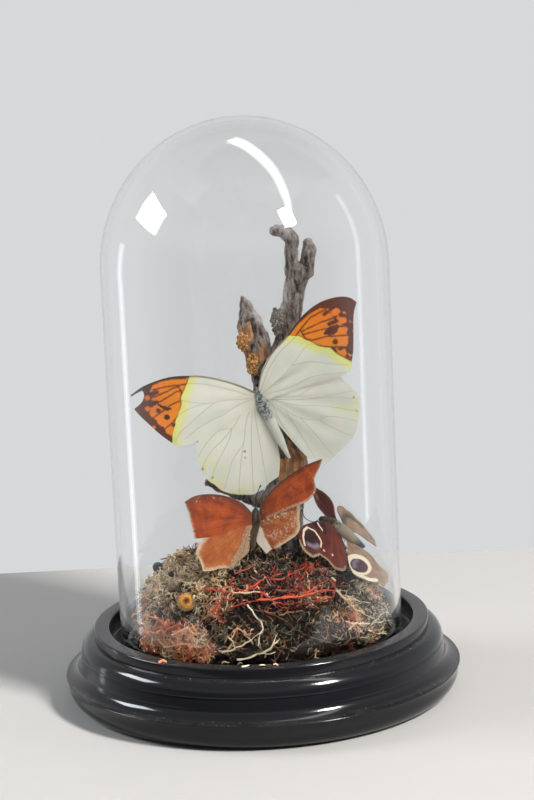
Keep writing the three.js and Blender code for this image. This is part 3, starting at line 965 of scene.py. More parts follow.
def cut_grid(low, high, spacing):
    """Cuts the active piece, a flat face, into squares of this spacing."""
    bpy.ops.object.mode_set(mode="EDIT")
    for axis, normal in enumerate(((1, 0, 0), (0, 1, 0))):
        for k in range(math.ceil(low[axis] / spacing), math.ceil(high[axis] / spacing)):
            bpy.ops.mesh.select_all(action="SELECT")
            bpy.ops.mesh.bisect(plane_co=tuple(n * k * spacing * MM for n in normal), plane_no=normal)
    bpy.ops.object.mode_set(mode="OBJECT")


def dressed(piece, materials, index):
    """Gives the piece its materials, with this one on every face."""
    for material in materials:
        piece.data.materials.append(material)
    piece.data.polygons.foreach_set("material_index", [index] * len(piece.data.polygons))
    return piece


def add_wing(name, wing, insect, settings, materials):
    """One wing: its outline filled, cut fine, marked, arched, given its thickness and its veins."""
    outline = round_off(wing["outline"])
    sheet = begin(bpy.ops.mesh.primitive_circle_add, name, vertices=len(outline), radius=1, fill_type="NGON")
    place(sheet.data, [(x * MM, y * MM, 0) for x, y in outline])
    low, high = (tuple(edge(p[k] for p in outline) for k in (0, 1)) for edge in (min, max))
    cut_grid(low, high, insect["spacing"])
    marks = wing.get("marks", {})
    flat = places(sheet.data) / MM
    store_marks(sheet.data, flat[:, :2], marks, 0)
    place(sheet.data, seat(flat, wing, insect["camber"]) * MM)
    top = TOP_OF_FORE if "fore" in name else TOP_OF_HIND
    dressed(sheet, materials, top if wing["facing"] > 0 else UNDERSIDE)
    modify(sheet, "SOLIDIFY", thickness=settings.wing, offset=0,
           material_offset=(UNDERSIDE - top) * wing["facing"])
    parts = [sheet]
    veins = [(line, VEIN_RADIUS, VEIN) for line in wing.get("veins", ())]
    veins += [(line, width, FRONT_EDGE) for line, width in wing.get("edges", ())]
    for k, (line, width, kind) in enumerate(veins):
        points = [(x, y, 0) for x, y in line]
        vein = tube(f"{name}_vein_{k}", points, [width, width * 0.75], 4 * (len(line) - 1), 6)
        rows = places(vein.data) / MM
        store_marks(vein.data, rows[:, :2], marks, kind)
        place(vein.data, seat(rows, wing, insect["camber"]) * MM)
        parts.append(dressed(vein, materials, top))
    return join(name, parts)


def add_body(name, insect, materials):
    """A body with its antennae and a coat of short hairs, each with its share of the length from the head."""
    body = tube(name, insect["body"], insect["radii"], 36, 20)
    rows = places(body.data)
    bumps = wander(rows, 1 / (0.9 * MM))
    place(body.data, rows + (rows - rows.mean(axis=0)) * (bumps * 0.03)[:, None])
    parts = [body, add_hairs(name, insect)]
    for k, points in enumerate(insect["antennae"]):
        parts.append(tube(f"{name}_antenna_{k}", points, [0.17] * (len(points) * 2) + [0.36], 24, 8))
    line, stations = curve_through(insect["body"], 60)
    for part in parts:
        rows = places(part.data) / MM
        away = np.linalg.norm(rows[:, None, :] - line[None, :, :], axis=2)
        set_field(part.data, "along", stations[away.argmin(axis=1)] / stations[-1])
        dressed(part, materials, COAT)
    return join(name, parts)


def add_hairs(name, insect):
    """Short tapering hairs, thick on the thorax and laid towards the tail."""
    count, dice = insect["hairs"], np.random.default_rng(insect["hairs"])
    line, stations = curve_through(insect["body"], 200)
    widths = np.interp(stations, range(len(insect["radii"])), insect["radii"])
    ahead = unit(np.gradient(line, axis=0))
    pick = (dice.beta(1.5, 2.4, count) * 190).astype(int) + 4
    turn = dice.uniform(0, 2 * math.pi, count)[:, None]
    across = unit(np.cross((0.0, 1.0, 0.0), ahead[pick]))
    away = np.cos(turn) * across + np.sin(turn) * np.cross(across, ahead[pick])
    root = line[pick] + away * (widths[pick] * 0.93)[:, None]
    way = unit(away * 0.55 + ahead[pick] * dice.uniform(0.35, 1.1, (count, 1))
               + dice.normal(0, 0.22, (count, 3)))
    reach = (dice.uniform(0.6, 1.4, count) * np.clip(widths[pick] / 2, 0.5, 1))[:, None]
    side = unit(np.cross(way, away)) * HAIR_RADIUS
    other = np.cross(side, way)
    corners = np.stack([root + side, root - side * 0.5 + other * 0.87, root - side * 0.5 - other * 0.87,
                        root + way * reach], axis=1)
    sides = ((0, 1, 3), (1, 2, 3), (2, 0, 3), (0, 2, 1))
    faces = np.concatenate([np.arange(count)[:, None] * 4 + corner for corner in sides])
    hairs = mesh_of(f"{name}_hairs", corners.reshape(-1, 3), faces.tolist())
    clean_up(hairs, 1e-8)
    return hairs


def build_butterfly(name, insect, node, settings, materials):
    """Wings and body joined in one piece, which stands for its CAD node."""
    parts = [add_wing(f"{name}_{key}", wing, insect, settings, materials)
             for key, wing in insect["wings"].items()]
    parts.append(add_body(f"{name}_body", insect, materials))
    piece = join(name, parts)
    smooth(piece, 50)
    hand_over(piece, [node])


def wing_shade(name):
    return Shade(name, roughness=0.78, specular_ior_level=0.25, sheen_weight=0.12, sheen_roughness=0.4)


def white_material(settings, name):
    """Ivory with beige veins; past the tip's edge orange, with brown veins, border and arrowheads."""
    shade = wing_shade(name)
    ivory, lemon, bright, brown = palette(settings, "ivory", "lemon", "tip_orange", "brown")
    fine = shade.noise(2.0, 4, 0.65)
    grit = shade.swing(fine, 0.6)
    cloud = shade.noise(0.1, 4, 0.55)
    rib, edge = shade.ribs(edge=0.85)
    tip = shade.plus(shade.field("tip"), shade.both(grit, 0.9))
    rim = shade.both(shade.step(tip, MARK_REACH + 0.75, MARK_REACH + 0.2), shade.step(cloud, 0.4, 0.62, 0.85))
    dark = shade.more(shade.more(shade.inside("dark", 0.3, grit), rim), rib)
    ground = shade.layers(
        ivory,
        (shade.step(cloud, 0.35, 0.7), toned(ivory, 0.91, 0.95, 0.97)),
        (shade.step(shade.field("reach"), 11, 0, 0.42), (0.62, 0.5, 0.36)),
        (shade.both(shade.inside("lemon", 3.2), shade.step(shade.noise(0.35, 3, 0.6), 0.36, 0.62)), lemon),
        (shade.both(shade.step(tip, MARK_REACH - 4.8, MARK_REACH - 0.6), shade.step(cloud, 0.2, 0.45)),
         lemon),
        (shade.both(rib, 0.55), (0.5, 0.4, 0.27)),
        (shade.inside("fleck", 0.25, grit, 0.75), (0.16, 0.1, 0.06)),
    )
    orange = shade.layers(
        bright,
        (shade.step(fine, 0.35, 0.72), toned(bright, 0.88, 0.7, 0.7)),
        (shade.step(tip, MARK_REACH + 13, MARK_REACH + 2, 0.35), toned(bright, 1.0, 1.5, 2.2)),
        (dark, shade.mix(shade.step(fine, 0.4, 0.65), toned(brown, 0.75), toned(brown, 1.7))),
    )
    past = shade.step(tip, MARK_REACH - 0.22, MARK_REACH + 0.22)
    look = shade.layers(
        ground,
        (past, orange),
        (edge, shade.mix(past, (0.3, 0.235, 0.19), (0.045, 0.035, 0.038))),
    )
    shade.set(base_color=look, normal=shade.bump(fine, 0.05, 0.7))
    return shade.material


def under_material(name, ground, dark, pale):
    """The leaf-like underside of a wing, in fine wavy bands."""
    shade = wing_shade(name)
    bands = shade.noise(0.55, 6, 0.7, distortion=1.2)
    look = shade.ramp(bands, [(0.3, dark), (0.5, ground), (0.74, pale)])
    look = shade.mix(shade.step(shade.noise(0.1), 0.45, 0.7), look, ground)
    shade.set(base_color=look, normal=shade.bump(bands, 0.06, 0.7))
    return shade.material


def orange_material(settings, name, ground, second):
    """Rust or tan, clouded darker, with a dark front edge, cream flecks, folds and margin."""
    shade = wing_shade(name)
    cream, brown = palette(settings, "cream", "brown")
    fine = shade.noise(1.5, 6, 0.72)
    grit = shade.swing(fine, 1.2)
    mottle = shade.plus(shade.noise(0.22, 5, 0.62, distortion=0.4), shade.swing(fine, 0.25))
    scales = shade.step(shade.noise(0.9, 5, 0.8, distortion=0.8), 0.5, 0.6)
    rib, edge = shade.ribs(0.45, 0.8)
    fold = shade.mix(shade.step(fine, 0.35, 0.65), (0.27, 0.15, 0.085), (0.5, 0.34, 0.22))
    look = shade.layers(
        second,
        (shade.step(mottle, 0.36, 0.66), ground),
        (shade.step(shade.noise(1.1, 5, 0.8), 0.66, 0.75, 0.6), cream),
        (shade.step(shade.field("reach"), 9, 0, 0.55), toned(second, 0.55)),
        (shade.inside("dark", 2.6, grit, 0.8), toned(brown, 1.3)),
        (shade.inside("margin", 0.9, grit, 0.8), toned(cream, 1, 0.94, 0.86)),
        (shade.inside("fold", 0.35, grit), fold),
        (shade.inside("lemon", 0.3, grit), (0.86, 0.77, 0.66)),
        (shade.both(scales, shade.inside("fleck", 1.5, grit, 0.85)), cream),
        (rib, toned(second, 0.4)),
        (edge, (0.11, 0.075, 0.062)),
    )
    shade.set(base_color=look, normal=shade.bump(fine, 0.1, 0.8))
    return shade.material


def eyed_material(settings, name, ground, second):
    """Velvet ground with a ringed eye, a black bar with a cream end, white dots and a tan margin."""
    shade = wing_shade(name)
    cream, = palette(settings, "cream")
    fine = shade.noise(1.8, 6, 0.7)
    grit = shade.swing(fine, 0.7)
    rib, edge = shade.ribs(0.4, 0.85)
    tan = shade.mix(shade.step(fine, 0.4, 0.62), (0.4, 0.29, 0.17), (0.2, 0.13, 0.08))
    look = shade.layers(
        ground,
        (shade.step(shade.noise(0.25, 4, 0.6), 0.35, 0.65), second),
        # Painted light: where the lemon mark lies, the ground is lifted to a brighter, lit copy of itself.
        # Only the weakly lit right forewing has this mark, and it covers the whole wing.
        (shade.inside("lemon", 2, top=0.8), toned(ground, 2.4, 2.8, 3)),
        (shade.inside("shade", 1.4, grit, 0.9), (0.022, 0.018, 0.018)),
        (rib, (0.03, 0.014, 0.01)),
        (shade.inside("margin", 0.3, grit), tan),
        (shade.inside("bar", 0.3, grit), (0.012, 0.01, 0.01)),
        (shade.inside("eye", 0.25), (0.035, 0.006, 0.008)),
        (shade.inside("violet", 1.2, grit, 0.8), (0.3, 0.24, 0.33)),
        (shade.inside("ring", 0.2, shade.both(grit, 0.3)), toned(cream, 1.05)),
        (shade.inside("dots", 0.15), (0.86, 0.8, 0.82)),
        (edge, (0.05, 0.035, 0.03)),
    )
    shade.set(base_color=look, normal=shade.bump(fine, 0.08, 0.8))
    return shade.material


def coat_material(name, stops, dark):
    """Hair and skin, coloured from head to tail, with dark flecks."""
    shade = Shade(name, roughness=0.9, specular_ior_level=0.2, sheen_weight=0.25)
    tufts = shade.noise(1.0, 5, 0.75)
    along = shade.plus(shade.field("along"), shade.swing(tufts, 0.08))
    flecks = shade.both(shade.step(tufts, 0.53, 0.45, 0.92), shade.step(along, 0.62, 0.5))
    look = shade.mix(flecks, shade.ramp(along, stops), dark)
    shade.set(base_color=look, normal=shade.bump(shade.noise(2.6, 4, 0.7), 0.2, 0.8))
    return shade.material


class DOME_OT_add_white_butterfly(bpy.types.Operator):
    """Adds the white butterfly with the orange tips"""

    bl_idname = "dome.add_white_butterfly"
    bl_label = "Add White Butterfly"

    def execute(self, context):
        settings = context.scene.dome.butterfly
        build_butterfly("white_specimen", WHITE, "white_butterfly", settings, [
            white_material(settings, "White forewing"), white_material(settings, "White hindwing"),
            under_material("White underside", (0.5, 0.44, 0.33), (0.24, 0.17, 0.11), (0.66, 0.62, 0.5)),
            coat_material("White coat", [
                (0, (0.09, 0.085, 0.08)), (0.2, (0.42, 0.46, 0.44)), (0.48, (0.52, 0.56, 0.52)),
                (0.6, (0.74, 0.74, 0.66)), (1, (0.78, 0.76, 0.68))], (0.045, 0.05, 0.05)),
        ])
        return {"FINISHED"}


class DOME_OT_add_orange_butterfly(bpy.types.Operator):
    """Adds the orange butterfly with the dark borders"""

    bl_idname = "dome.add_orange_butterfly"
    bl_label = "Add Orange Butterfly"

    def execute(self, context):
        settings = context.scene.dome.butterfly
        rust, tan = palette(settings, "rust", "tan")
        build_butterfly("orange_specimen", ORANGE, "orange_butterfly", settings, [
            orange_material(settings, "Rust forewing", rust, toned(rust, 0.62, 0.52, 0.8)),
            orange_material(settings, "Tan hindwing", tan, toned(tan, 0.72, 0.55, 0.5)),
            under_material("Orange underside", (0.24, 0.13, 0.07), (0.1, 0.05, 0.03), (0.4, 0.27, 0.17)),
            coat_material("Orange coat", [
                (0, (0.07, 0.055, 0.04)), (0.35, (0.1, 0.08, 0.045)), (0.6, (0.085, 0.055, 0.035)),
                (1, (0.15, 0.09, 0.05))], (0.03, 0.022, 0.014)),
        ])
        return {"FINISHED"}


class DOME_OT_add_eyed_butterfly(bpy.types.Operator):
    """Adds the maroon butterfly with the eye spots"""

    bl_idname = "dome.add_eyed_butterfly"
    bl_label = "Add Eyed Butterfly"

    def execute(self, context):
        settings = context.scene.dome.butterfly
        maroon = rgb(settings.maroon)
        build_butterfly("eyed_specimen", EYED, "eyed_butterfly", settings, [
            eyed_material(settings, "Maroon forewing", maroon, toned(maroon, 0.62)),
            eyed_material(settings, "Brown hindwing", (0.33, 0.22, 0.14), (0.24, 0.13, 0.08)),
            under_material("Eyed underside", (0.07, 0.05, 0.038), (0.02, 0.015, 0.012), (0.2, 0.15, 0.1)),
            coat_material("Eyed coat", [
                (0, (0.04, 0.036, 0.028)), (0.4, (0.09, 0.075, 0.05)), (0.55, (0.3, 0.26, 0.2)),
                (0.85, (0.34, 0.28, 0.21)), (0.92, (0.05, 0.055, 0.06))], (0.02, 0.017, 0.012)),
        ])
        return {"FINISHED"}


# ------------------------------------------------------------------ bodies, wings and their markings

WHITE_LEFT = dict(hinge=(2.5, -5, 123), tip=(-41, -15, 131), corner=(-4.5, -7, 83), facing=1)
WHITE_RIGHT = dict(hinge=(4, -5, 123.5), tip=(43, -9, 159), corner=(27, -7, 93.5), facing=-1)
WHITE = {
    "camber": 1.1,
    "spacing": 0.5,
    "hairs": 1500,
    "body": [
        (1.9, -4.4, 126), (2.9, -4.4, 123.8), (4.6, -4.4, 119.5), (7.4, -4.8, 112.8), (10.8, -5, 105),
        (14.2, -5.2, 97.3)],
    "radii": [0.9, 1.8, 2.9, 2, 1.7, 0.6],
    "antennae": [],
    "wings": {},
}
WHITE["wings"]["left_forewing"] = dict(
    WHITE_LEFT, level=FORE,
    outline=[
        (1.5, -1.5), (5.5, -3), (11.5, -4.5), (17.5, -5.5), (23.5, -6), (29, -5.5), (35, -4.5), (40.5, -2.5),
        (46, 0.5), (50, 4.5), (46, 1.8), (45, 3.5), (45.5, 6.5), (48, 9.5), (45.5, 12), (41, 15.5),
        (37, 18.5), (32, 21.5), (29, 22.5), (26, 22), (22, 20), (9.5, 10.5), (0, 5.5), (-1.5, 3),
        (-1.2, -0.5)],
    veins=[
        [(42, 1.2), (38.3, -0.1), (34.3, -1.2), (31.5, -1.7), (26.8, -2.8), (19.1, -2.8), (10.1, -1.4),
         (2, 0.2)],
        [(41, 3.9), (36.7, 1.5), (34.1, -0.1), (32.1, -1)],
        [(41.8, 8.1), (38.3, 5.4), (35.8, 3.5), (32.6, 1.1), (30.9, 0.3)],
        [(41, 13), (36.8, 9.1), (34, 6.4), (30.4, 4.4), (25.8, 4.7), (19.6, 4.6)],
        [(36.5, 17.3), (33.1, 14), (29.8, 9.6), (24.9, 6.4), (19.6, 4.6)],
        [(1, 0.9), (7.9, 2.1), (13.1, 2.8), (16.5, 4), (19.6, 4.6)],
        [(16.5, 4), (21.2, 8.2), (24.9, 12.3), (28.9, 17.1), (30.5, 21)],
        [(1.5, 1.2), (7.6, 4.6), (12.4, 8.5), (17.3, 11.4), (22.1, 14.9), (26.8, 19.8)],
        [(32.2, -1.2), (31.4, -0.3), (30.7, 0.6), (30.4, 2.6), (30.4, 4.4)],
    ],
    edges=[([
        (1, -1.3), (5.5, -2.8), (11.5, -4.3), (17.5, -5.3), (23.5, -5.8), (29, -5.3), (35, -4.3),
        (40.5, -2.3), (46, 0.7), (49.8, 4.3)], 0.46)],
    marks=dict(
        tip=right_of(
            (28, -9), (28.3, -4.1), (28.8, -2.3), (29.3, -0.5), (30.1, 1.6), (30.6, 3.4), (29.8, 5.4),
            (30.1, 7.5), (30.7, 9.6), (31.3, 11.8), (31.4, 13.9), (31.6, 16), (31.9, 18.1), (31.4, 24)),
        dark=either(
            without(
                right_of(
                    (27, -6), (29.7, -4.3), (34.6, -3.7), (39.3, -2.3), (42.2, -0.5), (42.9, 2), (40.8, 2.5),
                    (41, 3.7), (41.9, 4.7), (41.7, 6), (40.5, 6.3), (41.2, 7.7), (42, 9.2), (41.8, 11.2),
                    (40.6, 12.2), (38.8, 13.1), (38.3, 14.4), (35.3, 15.9), (34.8, 17.6), (31.8, 19.1)),
                spots((43.7, 4.5, 1.05), (42.9, 8.9, 1.05), (39.6, 15.9, 0.7))),
            stroke(0.8, (42, 2.6), (40.2, 1.9)), stroke(0.8, (42, 6.4), (39.8, 5.9)),
            spots((38.7, 9.2, 0.95), (35, 11.5, 1.15), (31.9, 14.4, 0.9))),
    ),
)
WHITE["wings"]["left_hindwing"] = dict(
    WHITE_LEFT, level=HIND,
    outline=[
        (-1, 3.5), (6, 7), (15.5, 13), (22.5, 18.5), (21.5, 24), (20, 29), (18, 32.5), (15.5, 35.5),
        (12, 37.5), (9, 39.5), (4.5, 40.5), (0, 40.5), (-4, 40), (-7.5, 37.5), (-10, 35), (-13.5, 32),
        (-13, 25), (-10.5, 17.5), (-7, 12), (-4, 6.5)],
    veins=[
        [(2.9, 2.5), (6.3, 6.3), (9, 10), (13.6, 12.5), (18.2, 15.6), (21.8, 19.6)],
        [(2.8, 2.9), (6, 9.1), (8.2, 13.8), (13.3, 15.2), (17.6, 20.4), (20.4, 26.6)],
        [(8.2, 13.8), (11.1, 18.5), (15.7, 24.1), (18.4, 31)],
        [(8.2, 13.8), (9.2, 19.8), (12.4, 28.1), (14, 35.5)],
        [(1.8, 3.6), (3.1, 12.3), (2.9, 19.3), (6.2, 26.2), (7.4, 33.7), (8, 38.8)],
        [(2.9, 19.3), (2.8, 28.1), (2.4, 36.8), (1.6, 40)],
        [(1.2, 4.5), (0.2, 15.6), (-1.5, 26), (-3.9, 39)],
        [(0.4, 5.1), (-1.5, 12), (-4.9, 22.3), (-9, 35)],
    ],
    marks=dict(
        lemon=either(
            stroke(0.8, (18.5, 29), (15.5, 34.5), (11, 38), (4, 40), (-3, 39.5)),
            stroke(0.2, (15, 26), (13, 36)), stroke(0.2, (9.5, 30), (9, 38))),
        fleck=spots(
            (18, 31.3, 0.55), (13.7, 34.5, 0.5), (15.8, 35.7, 0.5), (1.9, 22.7, 0.55), (1.4, 25.3, 0.4),
            (21.6, 20.3, 0.4)),
    ),
)
WHITE["wings"]["right_forewing"] = dict(
    WHITE_RIGHT, level=FORE,
    outline=[
        (2, -3), (6.5, -6), (13.5, -8.5), (25, -9.5), (35, -11), (43, -10), (49.5, -6.5), (52.5, -3), (53, 0),
        (49, 2.5), (43.5, 8), (38.5, 13), (34.5, 16), (32.5, 17.5), (29.5, 17.5), (26.5, 16), (13, 9),
        (1, 3.5), (-1.5, 2), (-1, -1.5)],
    veins=[
        [(1, -0.9), (8.9, -4.8), (17.4, -6.9), (24.9, -6.9), (29.7, -7.7), (35.8, -8.4), (42.5, -6.5)],
        [(43.3, -1.5), (36.7, -4.4), (30, -6.7)],
        [(44.5, 4.4), (40.9, 1.6), (35.1, -2.2), (29.3, -5.4)],
        [(41.6, 6.9), (34.9, 1.2), (30.3, -1.2), (28.8, -3.2)],
        [(38.8, 10.8), (33.3, 5.4), (29.9, 1.2), (27.3, -1.3), (17.5, 0.2)],
        [(1, 0.3), (9.9, 0.7), (17.5, 0.2)],
        [(17.5, 0.2), (23.3, 3.9), (28.6, 10.2), (33.5, 15.6)],
        [(1.4, 1.2), (10.9, 6.2), (20.6, 9.3), (30.8, 17)],
        [(29.7, -7.6), (29.2, -6), (28.7, -4.4), (28.8, -3)],
    ],
    edges=[
        ([(1, -2), (6.5, -5.7), (13.5, -8.2), (19, -9)], 0.3),
        ([(19, -9), (25, -9.3), (35, -10.8), (43, -9.8)], 0.36)],
    marks=dict(
        tip=right_of(
            (21, -14), (23.3, -10.2), (24.9, -9), (27.6, -6.2), (28.2, -3.6), (29.5, -0.4), (30.5, 2.5),
            (33.1, 5.6), (33.2, 9.5), (34.3, 12.8), (35.1, 15.5), (36.8, 18.7), (39, 22)),
        dark=either(
            without(
                right_of(
                    (23, -9.4), (31.1, -9.9), (36.6, -9.6), (41.2, -8.4), (43.3, -6), (42.5, -2.6),
                    (43, -4.4), (44.8, -4.3), (46.2, -1.9), (44, -1.6), (44.5, -0.1), (45.5, 2.1),
                    (43.8, 2.5), (42.5, 1.8), (43.4, 4.9), (41.6, 5.4), (41.6, 7.3), (39, 9.3), (37.9, 9.8),
                    (34.6, 7.3), (35.1, 9.4), (36.4, 12), (34.5, 12), (35.3, 15.7), (38, 19)),
                spots((44.9, -2.9, 1.3), (44.5, 1.5, 1.2), (42.1, 4.3, 1.3), (35.8, 10.4, 1))),
            stroke(0.75, (42.4, -5.2), (40.6, -5.4)), stroke(0.8, (42.3, -0.2), (39.4, -1.4)),
            stroke(0.75, (39.4, 2.2), (37, 0.8)), spots((36.2, 5.3, 1.15), (33.5, 8, 0.8))),
    ),
)
WHITE["wings"]["right_hindwing"] = dict(
    WHITE_RIGHT, level=HIND,
    outline=[
        (0.5, 2), (15.5, 7), (28, 14.5), (27.5, 21), (27.5, 26), (25.5, 30), (21, 34), (15.5, 37.5),
        (8.5, 38.5), (2, 38.5), (-3, 38), (-4.5, 32), (-4.5, 25.5), (-4, 19), (-3.5, 12.5), (-2, 6.5)],
    veins=[
        [(2, 3.5), (9.9, 10.4), (17.5, 12.5), (27.4, 19)],
        [(1.7, 4.4), (10.6, 13), (18.2, 18.3), (26.9, 24)],
        [(10.6, 13), (14.1, 15.9), (21.1, 21.7), (26.3, 28)],
        [(1.7, 4.4), (8.3, 14), (15.2, 21.3), (23, 31.8)],
        [(1.4, 4.8), (2.7, 11.2), (4.7, 17.7), (9.6, 23.7), (12.3, 24.3), (16.9, 29.3), (19.8, 34.6)],
        [(9.6, 23.7), (11, 29.5), (14.2, 37.3)],
        [(4.7, 17.7), (4.4, 25.8), (3.1, 38)],
        [(2.7, 11.2), (0.7, 19.7), (-3.2, 36)],
        [(0.8, 5.7), (-2.6, 15.2), (-3.9, 27)],
    ],
    marks=dict(
        lemon=either(
            stroke(0.6, (26.8, 24), (25.2, 30), (20.5, 34.4)), stroke(0.2, (18, 24), (23, 31))),
        fleck=spots((25.6, 26.5, 0.5), (22.6, 31.2, 0.45)),
    ),
)
ORANGE_LEFT = dict(hinge=(-1.5, -19, 76.8), tip=(-27.5, -30, 87.4), corner=(-14.5, -30.5, 58.1), facing=1)
ORANGE_RIGHT = dict(hinge=(1, -18, 76.5), tip=(26.5, -24, 100.5), corner=(5, -21, 64), facing=-1)
ORANGE = {
    "camber": 0.8,
    "spacing": 0.42,
    "hairs": 1100,
    "body": [(-0.1, -18, 80.4), (-0.2, -18, 78.6), (-0.4, -18, 75.6), (-1, -18, 71.9), (-1.9, -18, 64.3)],
    "radii": [0.8, 1.6, 2.4, 1.9, 0.7],
    "antennae": [
        [(-0.1, -18.6, 79.6), (0, -19, 84), (0.9, -19, 87), (2.3, -19, 89.9)],
        [(0.3, -18.6, 79.9), (2.8, -19, 86), (6.1, -19, 89.9)],
    ],
    "wings": {},
}
ORANGE["wings"]["left_forewing"] = dict(
    ORANGE_LEFT, level=FORE,
    outline=[
        (1.5, -1), (2, -2.5), (6.5, -5), (14.5, -6), (21.5, -5), (26.5, -3), (30, 0), (27, 4.5), (24.5, 9.5),
        (23, 13), (18, 11.5), (12.5, 9.5), (8, 6.5), (1, 3), (-1.5, 2), (-1.2, -0.5)],
    veins=[
        [(1.7, -2.6), (8.5, -4.2), (17.9, -4.2), (27.4, -1.4)],
        [(1.5, -1.8), (8, -3), (17.4, -2.7), (28.7, -0.3)],
        [(1.1, -0.4), (8.8, -0.5), (18.5, 1), (27.6, 2.8)],
        [(1.5, 0.8), (9.5, 1.9), (17.7, 4.7), (26, 6.7)],
        [(2, 1.4), (9.7, 4.2), (16.4, 7.8), (24.3, 10.4)],
        [(1.9, 2), (6.3, 4.4), (11.7, 8), (18.6, 11.4)],
        [(13.5, -3), (14.2, -1), (14.4, 0.4), (13.4, 3)],
    ],
    edges=[([(1, -1.2), (2, -2.4), (6.5, -4.8), (14.5, -5.8), (21.5, -4.8), (26.5, -2.8), (29.8, 0)], 0.36)],
    marks=dict(
        dark=either(
            stroke(2.6, (2, -2.5), (6.5, -5), (14.5, -6), (21.5, -5), (26.5, -3), (30, 0), (27.5, 4)),
            stroke(0.3, (8, -2), (9, 1), (11, 3.6)), stroke(0.1, (20, -3.5), (21, 1.5), (19, 7))),
        fleck=spots((21.5, -3.6, 0.2), (24.5, -2, 0.6), (18, -4.4, 0.1), (15, -4.2, 0.1)),
        margin=stroke(0.25, (30, 0.3), (27, 4.5), (24.5, 9.5), (23, 13)),
    ),
)
ORANGE["wings"]["left_hindwing"] = dict(
    ORANGE_LEFT, level=HIND,
    outline=[
        (-1.5, 0.8), (0.5, 1.5), (8.5, 6), (17, 10), (20.5, 15.5), (21, 19), (19, 20.5), (16.5, 24.5),
        (14, 24), (8, 21.5), (5, 21.5), (4.5, 22), (3, 18.5), (-1, 14), (-1, 10.5), (0, 6.5)],
    veins=[
        [(1.8, 2.5), (7.4, 6.4), (14.6, 11), (19.4, 15)],
        [(1.7, 3.1), (7.6, 8.2), (13.8, 14.6), (20, 19)],
        [(1.7, 3.1), (6.5, 10.3), (11.5, 16.9), (16.6, 23.4)],
        [(1.6, 3.6), (5.1, 11.1), (8.2, 17.4), (12.4, 22.6)],
        [(1, 3.6), (3.1, 11.8), (5.2, 16.8), (6.8, 21)],
        [(0.4, 3), (1, 9.7), (1.4, 14), (3.4, 18)],
    ],
    marks=dict(
        fold=left_of((1.4, -1), (1.9, 4), (3.1, 11.8), (5.2, 16.8), (6.4, 23)),
        margin=stroke(
            0.9, (10, 6.4), (17, 9.6), (20.3, 15.5), (21, 19), (19, 20.5), (16.5, 24.5), (14, 24), (8, 21.5),
            (5, 21.8)),
        fleck=stroke(0.2, (20.5, 15.5), (21, 19), (16.5, 24.5), (8, 21.5)),
    ),
)
ORANGE["wings"]["right_forewing"] = dict(
    ORANGE_RIGHT, level=FORE,
    outline=[
        (1, 0), (2, -1.5), (5.5, -3.5), (12.5, -4.5), (21, -4), (29, -2.5), (35.5, 0), (32, 2), (28, 3.5),
        (25.5, 7), (23, 8), (19, 8), (12, 5.5), (1, 1.8), (-1, 1.4), (-1, -0.4)],
    veins=[
        [(2.6, -1.6), (9, -3), (15, -3.5), (25.4, -2.1), (34, -0.3)],
        [(2.4, -1.2), (8, -1.8), (14.3, -1.7), (24.3, -0.5), (33, 0.6)],
        [(2, -0.8), (8, 0), (13.7, 0.7), (22.9, 1.9), (29.4, 2.8)],
        [(2, -0.4), (6, 0.9), (12.5, 1.9), (20.1, 4), (26.4, 5)],
        [(2, 0), (11, 3.5), (17.8, 5.6), (23.4, 7)],
    ],
    edges=[([(0.8, -0.3), (2, -1.4), (5.5, -3.3), (12.5, -4.3), (21, -3.8), (29, -2.3), (35.3, 0)], 0.4)],
    marks=dict(
        dark=either(
            stroke(0.7, (1, -1), (5.5, -3.5), (12.5, -4.5), (21, -4), (29, -2.5), (35.5, 0)),
            stroke(0.1, (15, -3), (15.8, 0), (14.5, 4)),
            stroke(0.4, (33, -0.6), (35.5, 0), (31.5, 2.2))),
        margin=either(
            stroke(0.1, (35.5, 0.2), (32, 2), (28, 3.5), (25.5, 7), (23, 8)),
            stroke(0.1, (3, 2.1), (12, 5.3), (19, 7.8), (23, 8))),
        fleck=spots((3.4, -0.6, 0.1), (5, 0.6, 0.1), (20, -0.6, 0.1)),
    ),
)
ORANGE["wings"]["right_hindwing"] = dict(
    ORANGE_RIGHT, level=HIND,
    outline=[
        (1, 0.5), (9.5, 3), (17, 6.5), (13, 10.5), (10.5, 13.5), (7.5, 15), (2.5, 14.5), (-2.5, 13.5),
        (-5, 12.5), (-7.5, 12.5), (-7.5, 9), (-7, 6), (-3, 3)],
    veins=[
        [(2, 0.8), (8.2, 4.2), (12.5, 6.2), (16, 7)],
        [(1.6, 0.6), (5.8, 5.7), (9.4, 9.5), (10.9, 12.2)],
        [(1.2, 0.8), (3, 6.9), (5, 11.6), (6.9, 14.4)],
        [(0.9, 1.1), (0.9, 7.4), (0.5, 12.1), (0.7, 14)],
        [(0.5, 1.3), (-1.5, 7.5), (-3.7, 11.5), (-4.2, 12.2)],
    ],
    marks=dict(
        lemon=left_of((-2.6, -1), (-1.9, 4.3), (-3.3, 6.7), (-4.2, 11.1), (-4.8, 14.5)),
        margin=stroke(0.95, (17, 6.5), (13, 10.5), (10.5, 13.5), (7.5, 15), (2.5, 14.5), (-2.5, 13.5)),
        fleck=either(stroke(2, (2, 2), (8, 5), (15.5, 7)), stroke(1.8, (-1, 8), (3, 11), (10, 10.5))),
    ),
)
EYED = {
    "camber": 0.5,
    "spacing": 0.4,
    "hairs": 1300,
    "body": [(25.6, 2, 69.8), (27.6, 2, 68.8), (31.2, 2, 66.6), (36.7, 2, 62.4), (43, 2, 57)],
    "radii": [0.9, 1.8, 2.6, 2.3, 0.8],
    "antennae": [[(25.8, 1.6, 69.6), (23.2, 0.5, 68.9), (21.2, 0, 69.6), (19.3, 0, 71.2), (18.5, 0, 74.3)]],
    "wings": {},
}
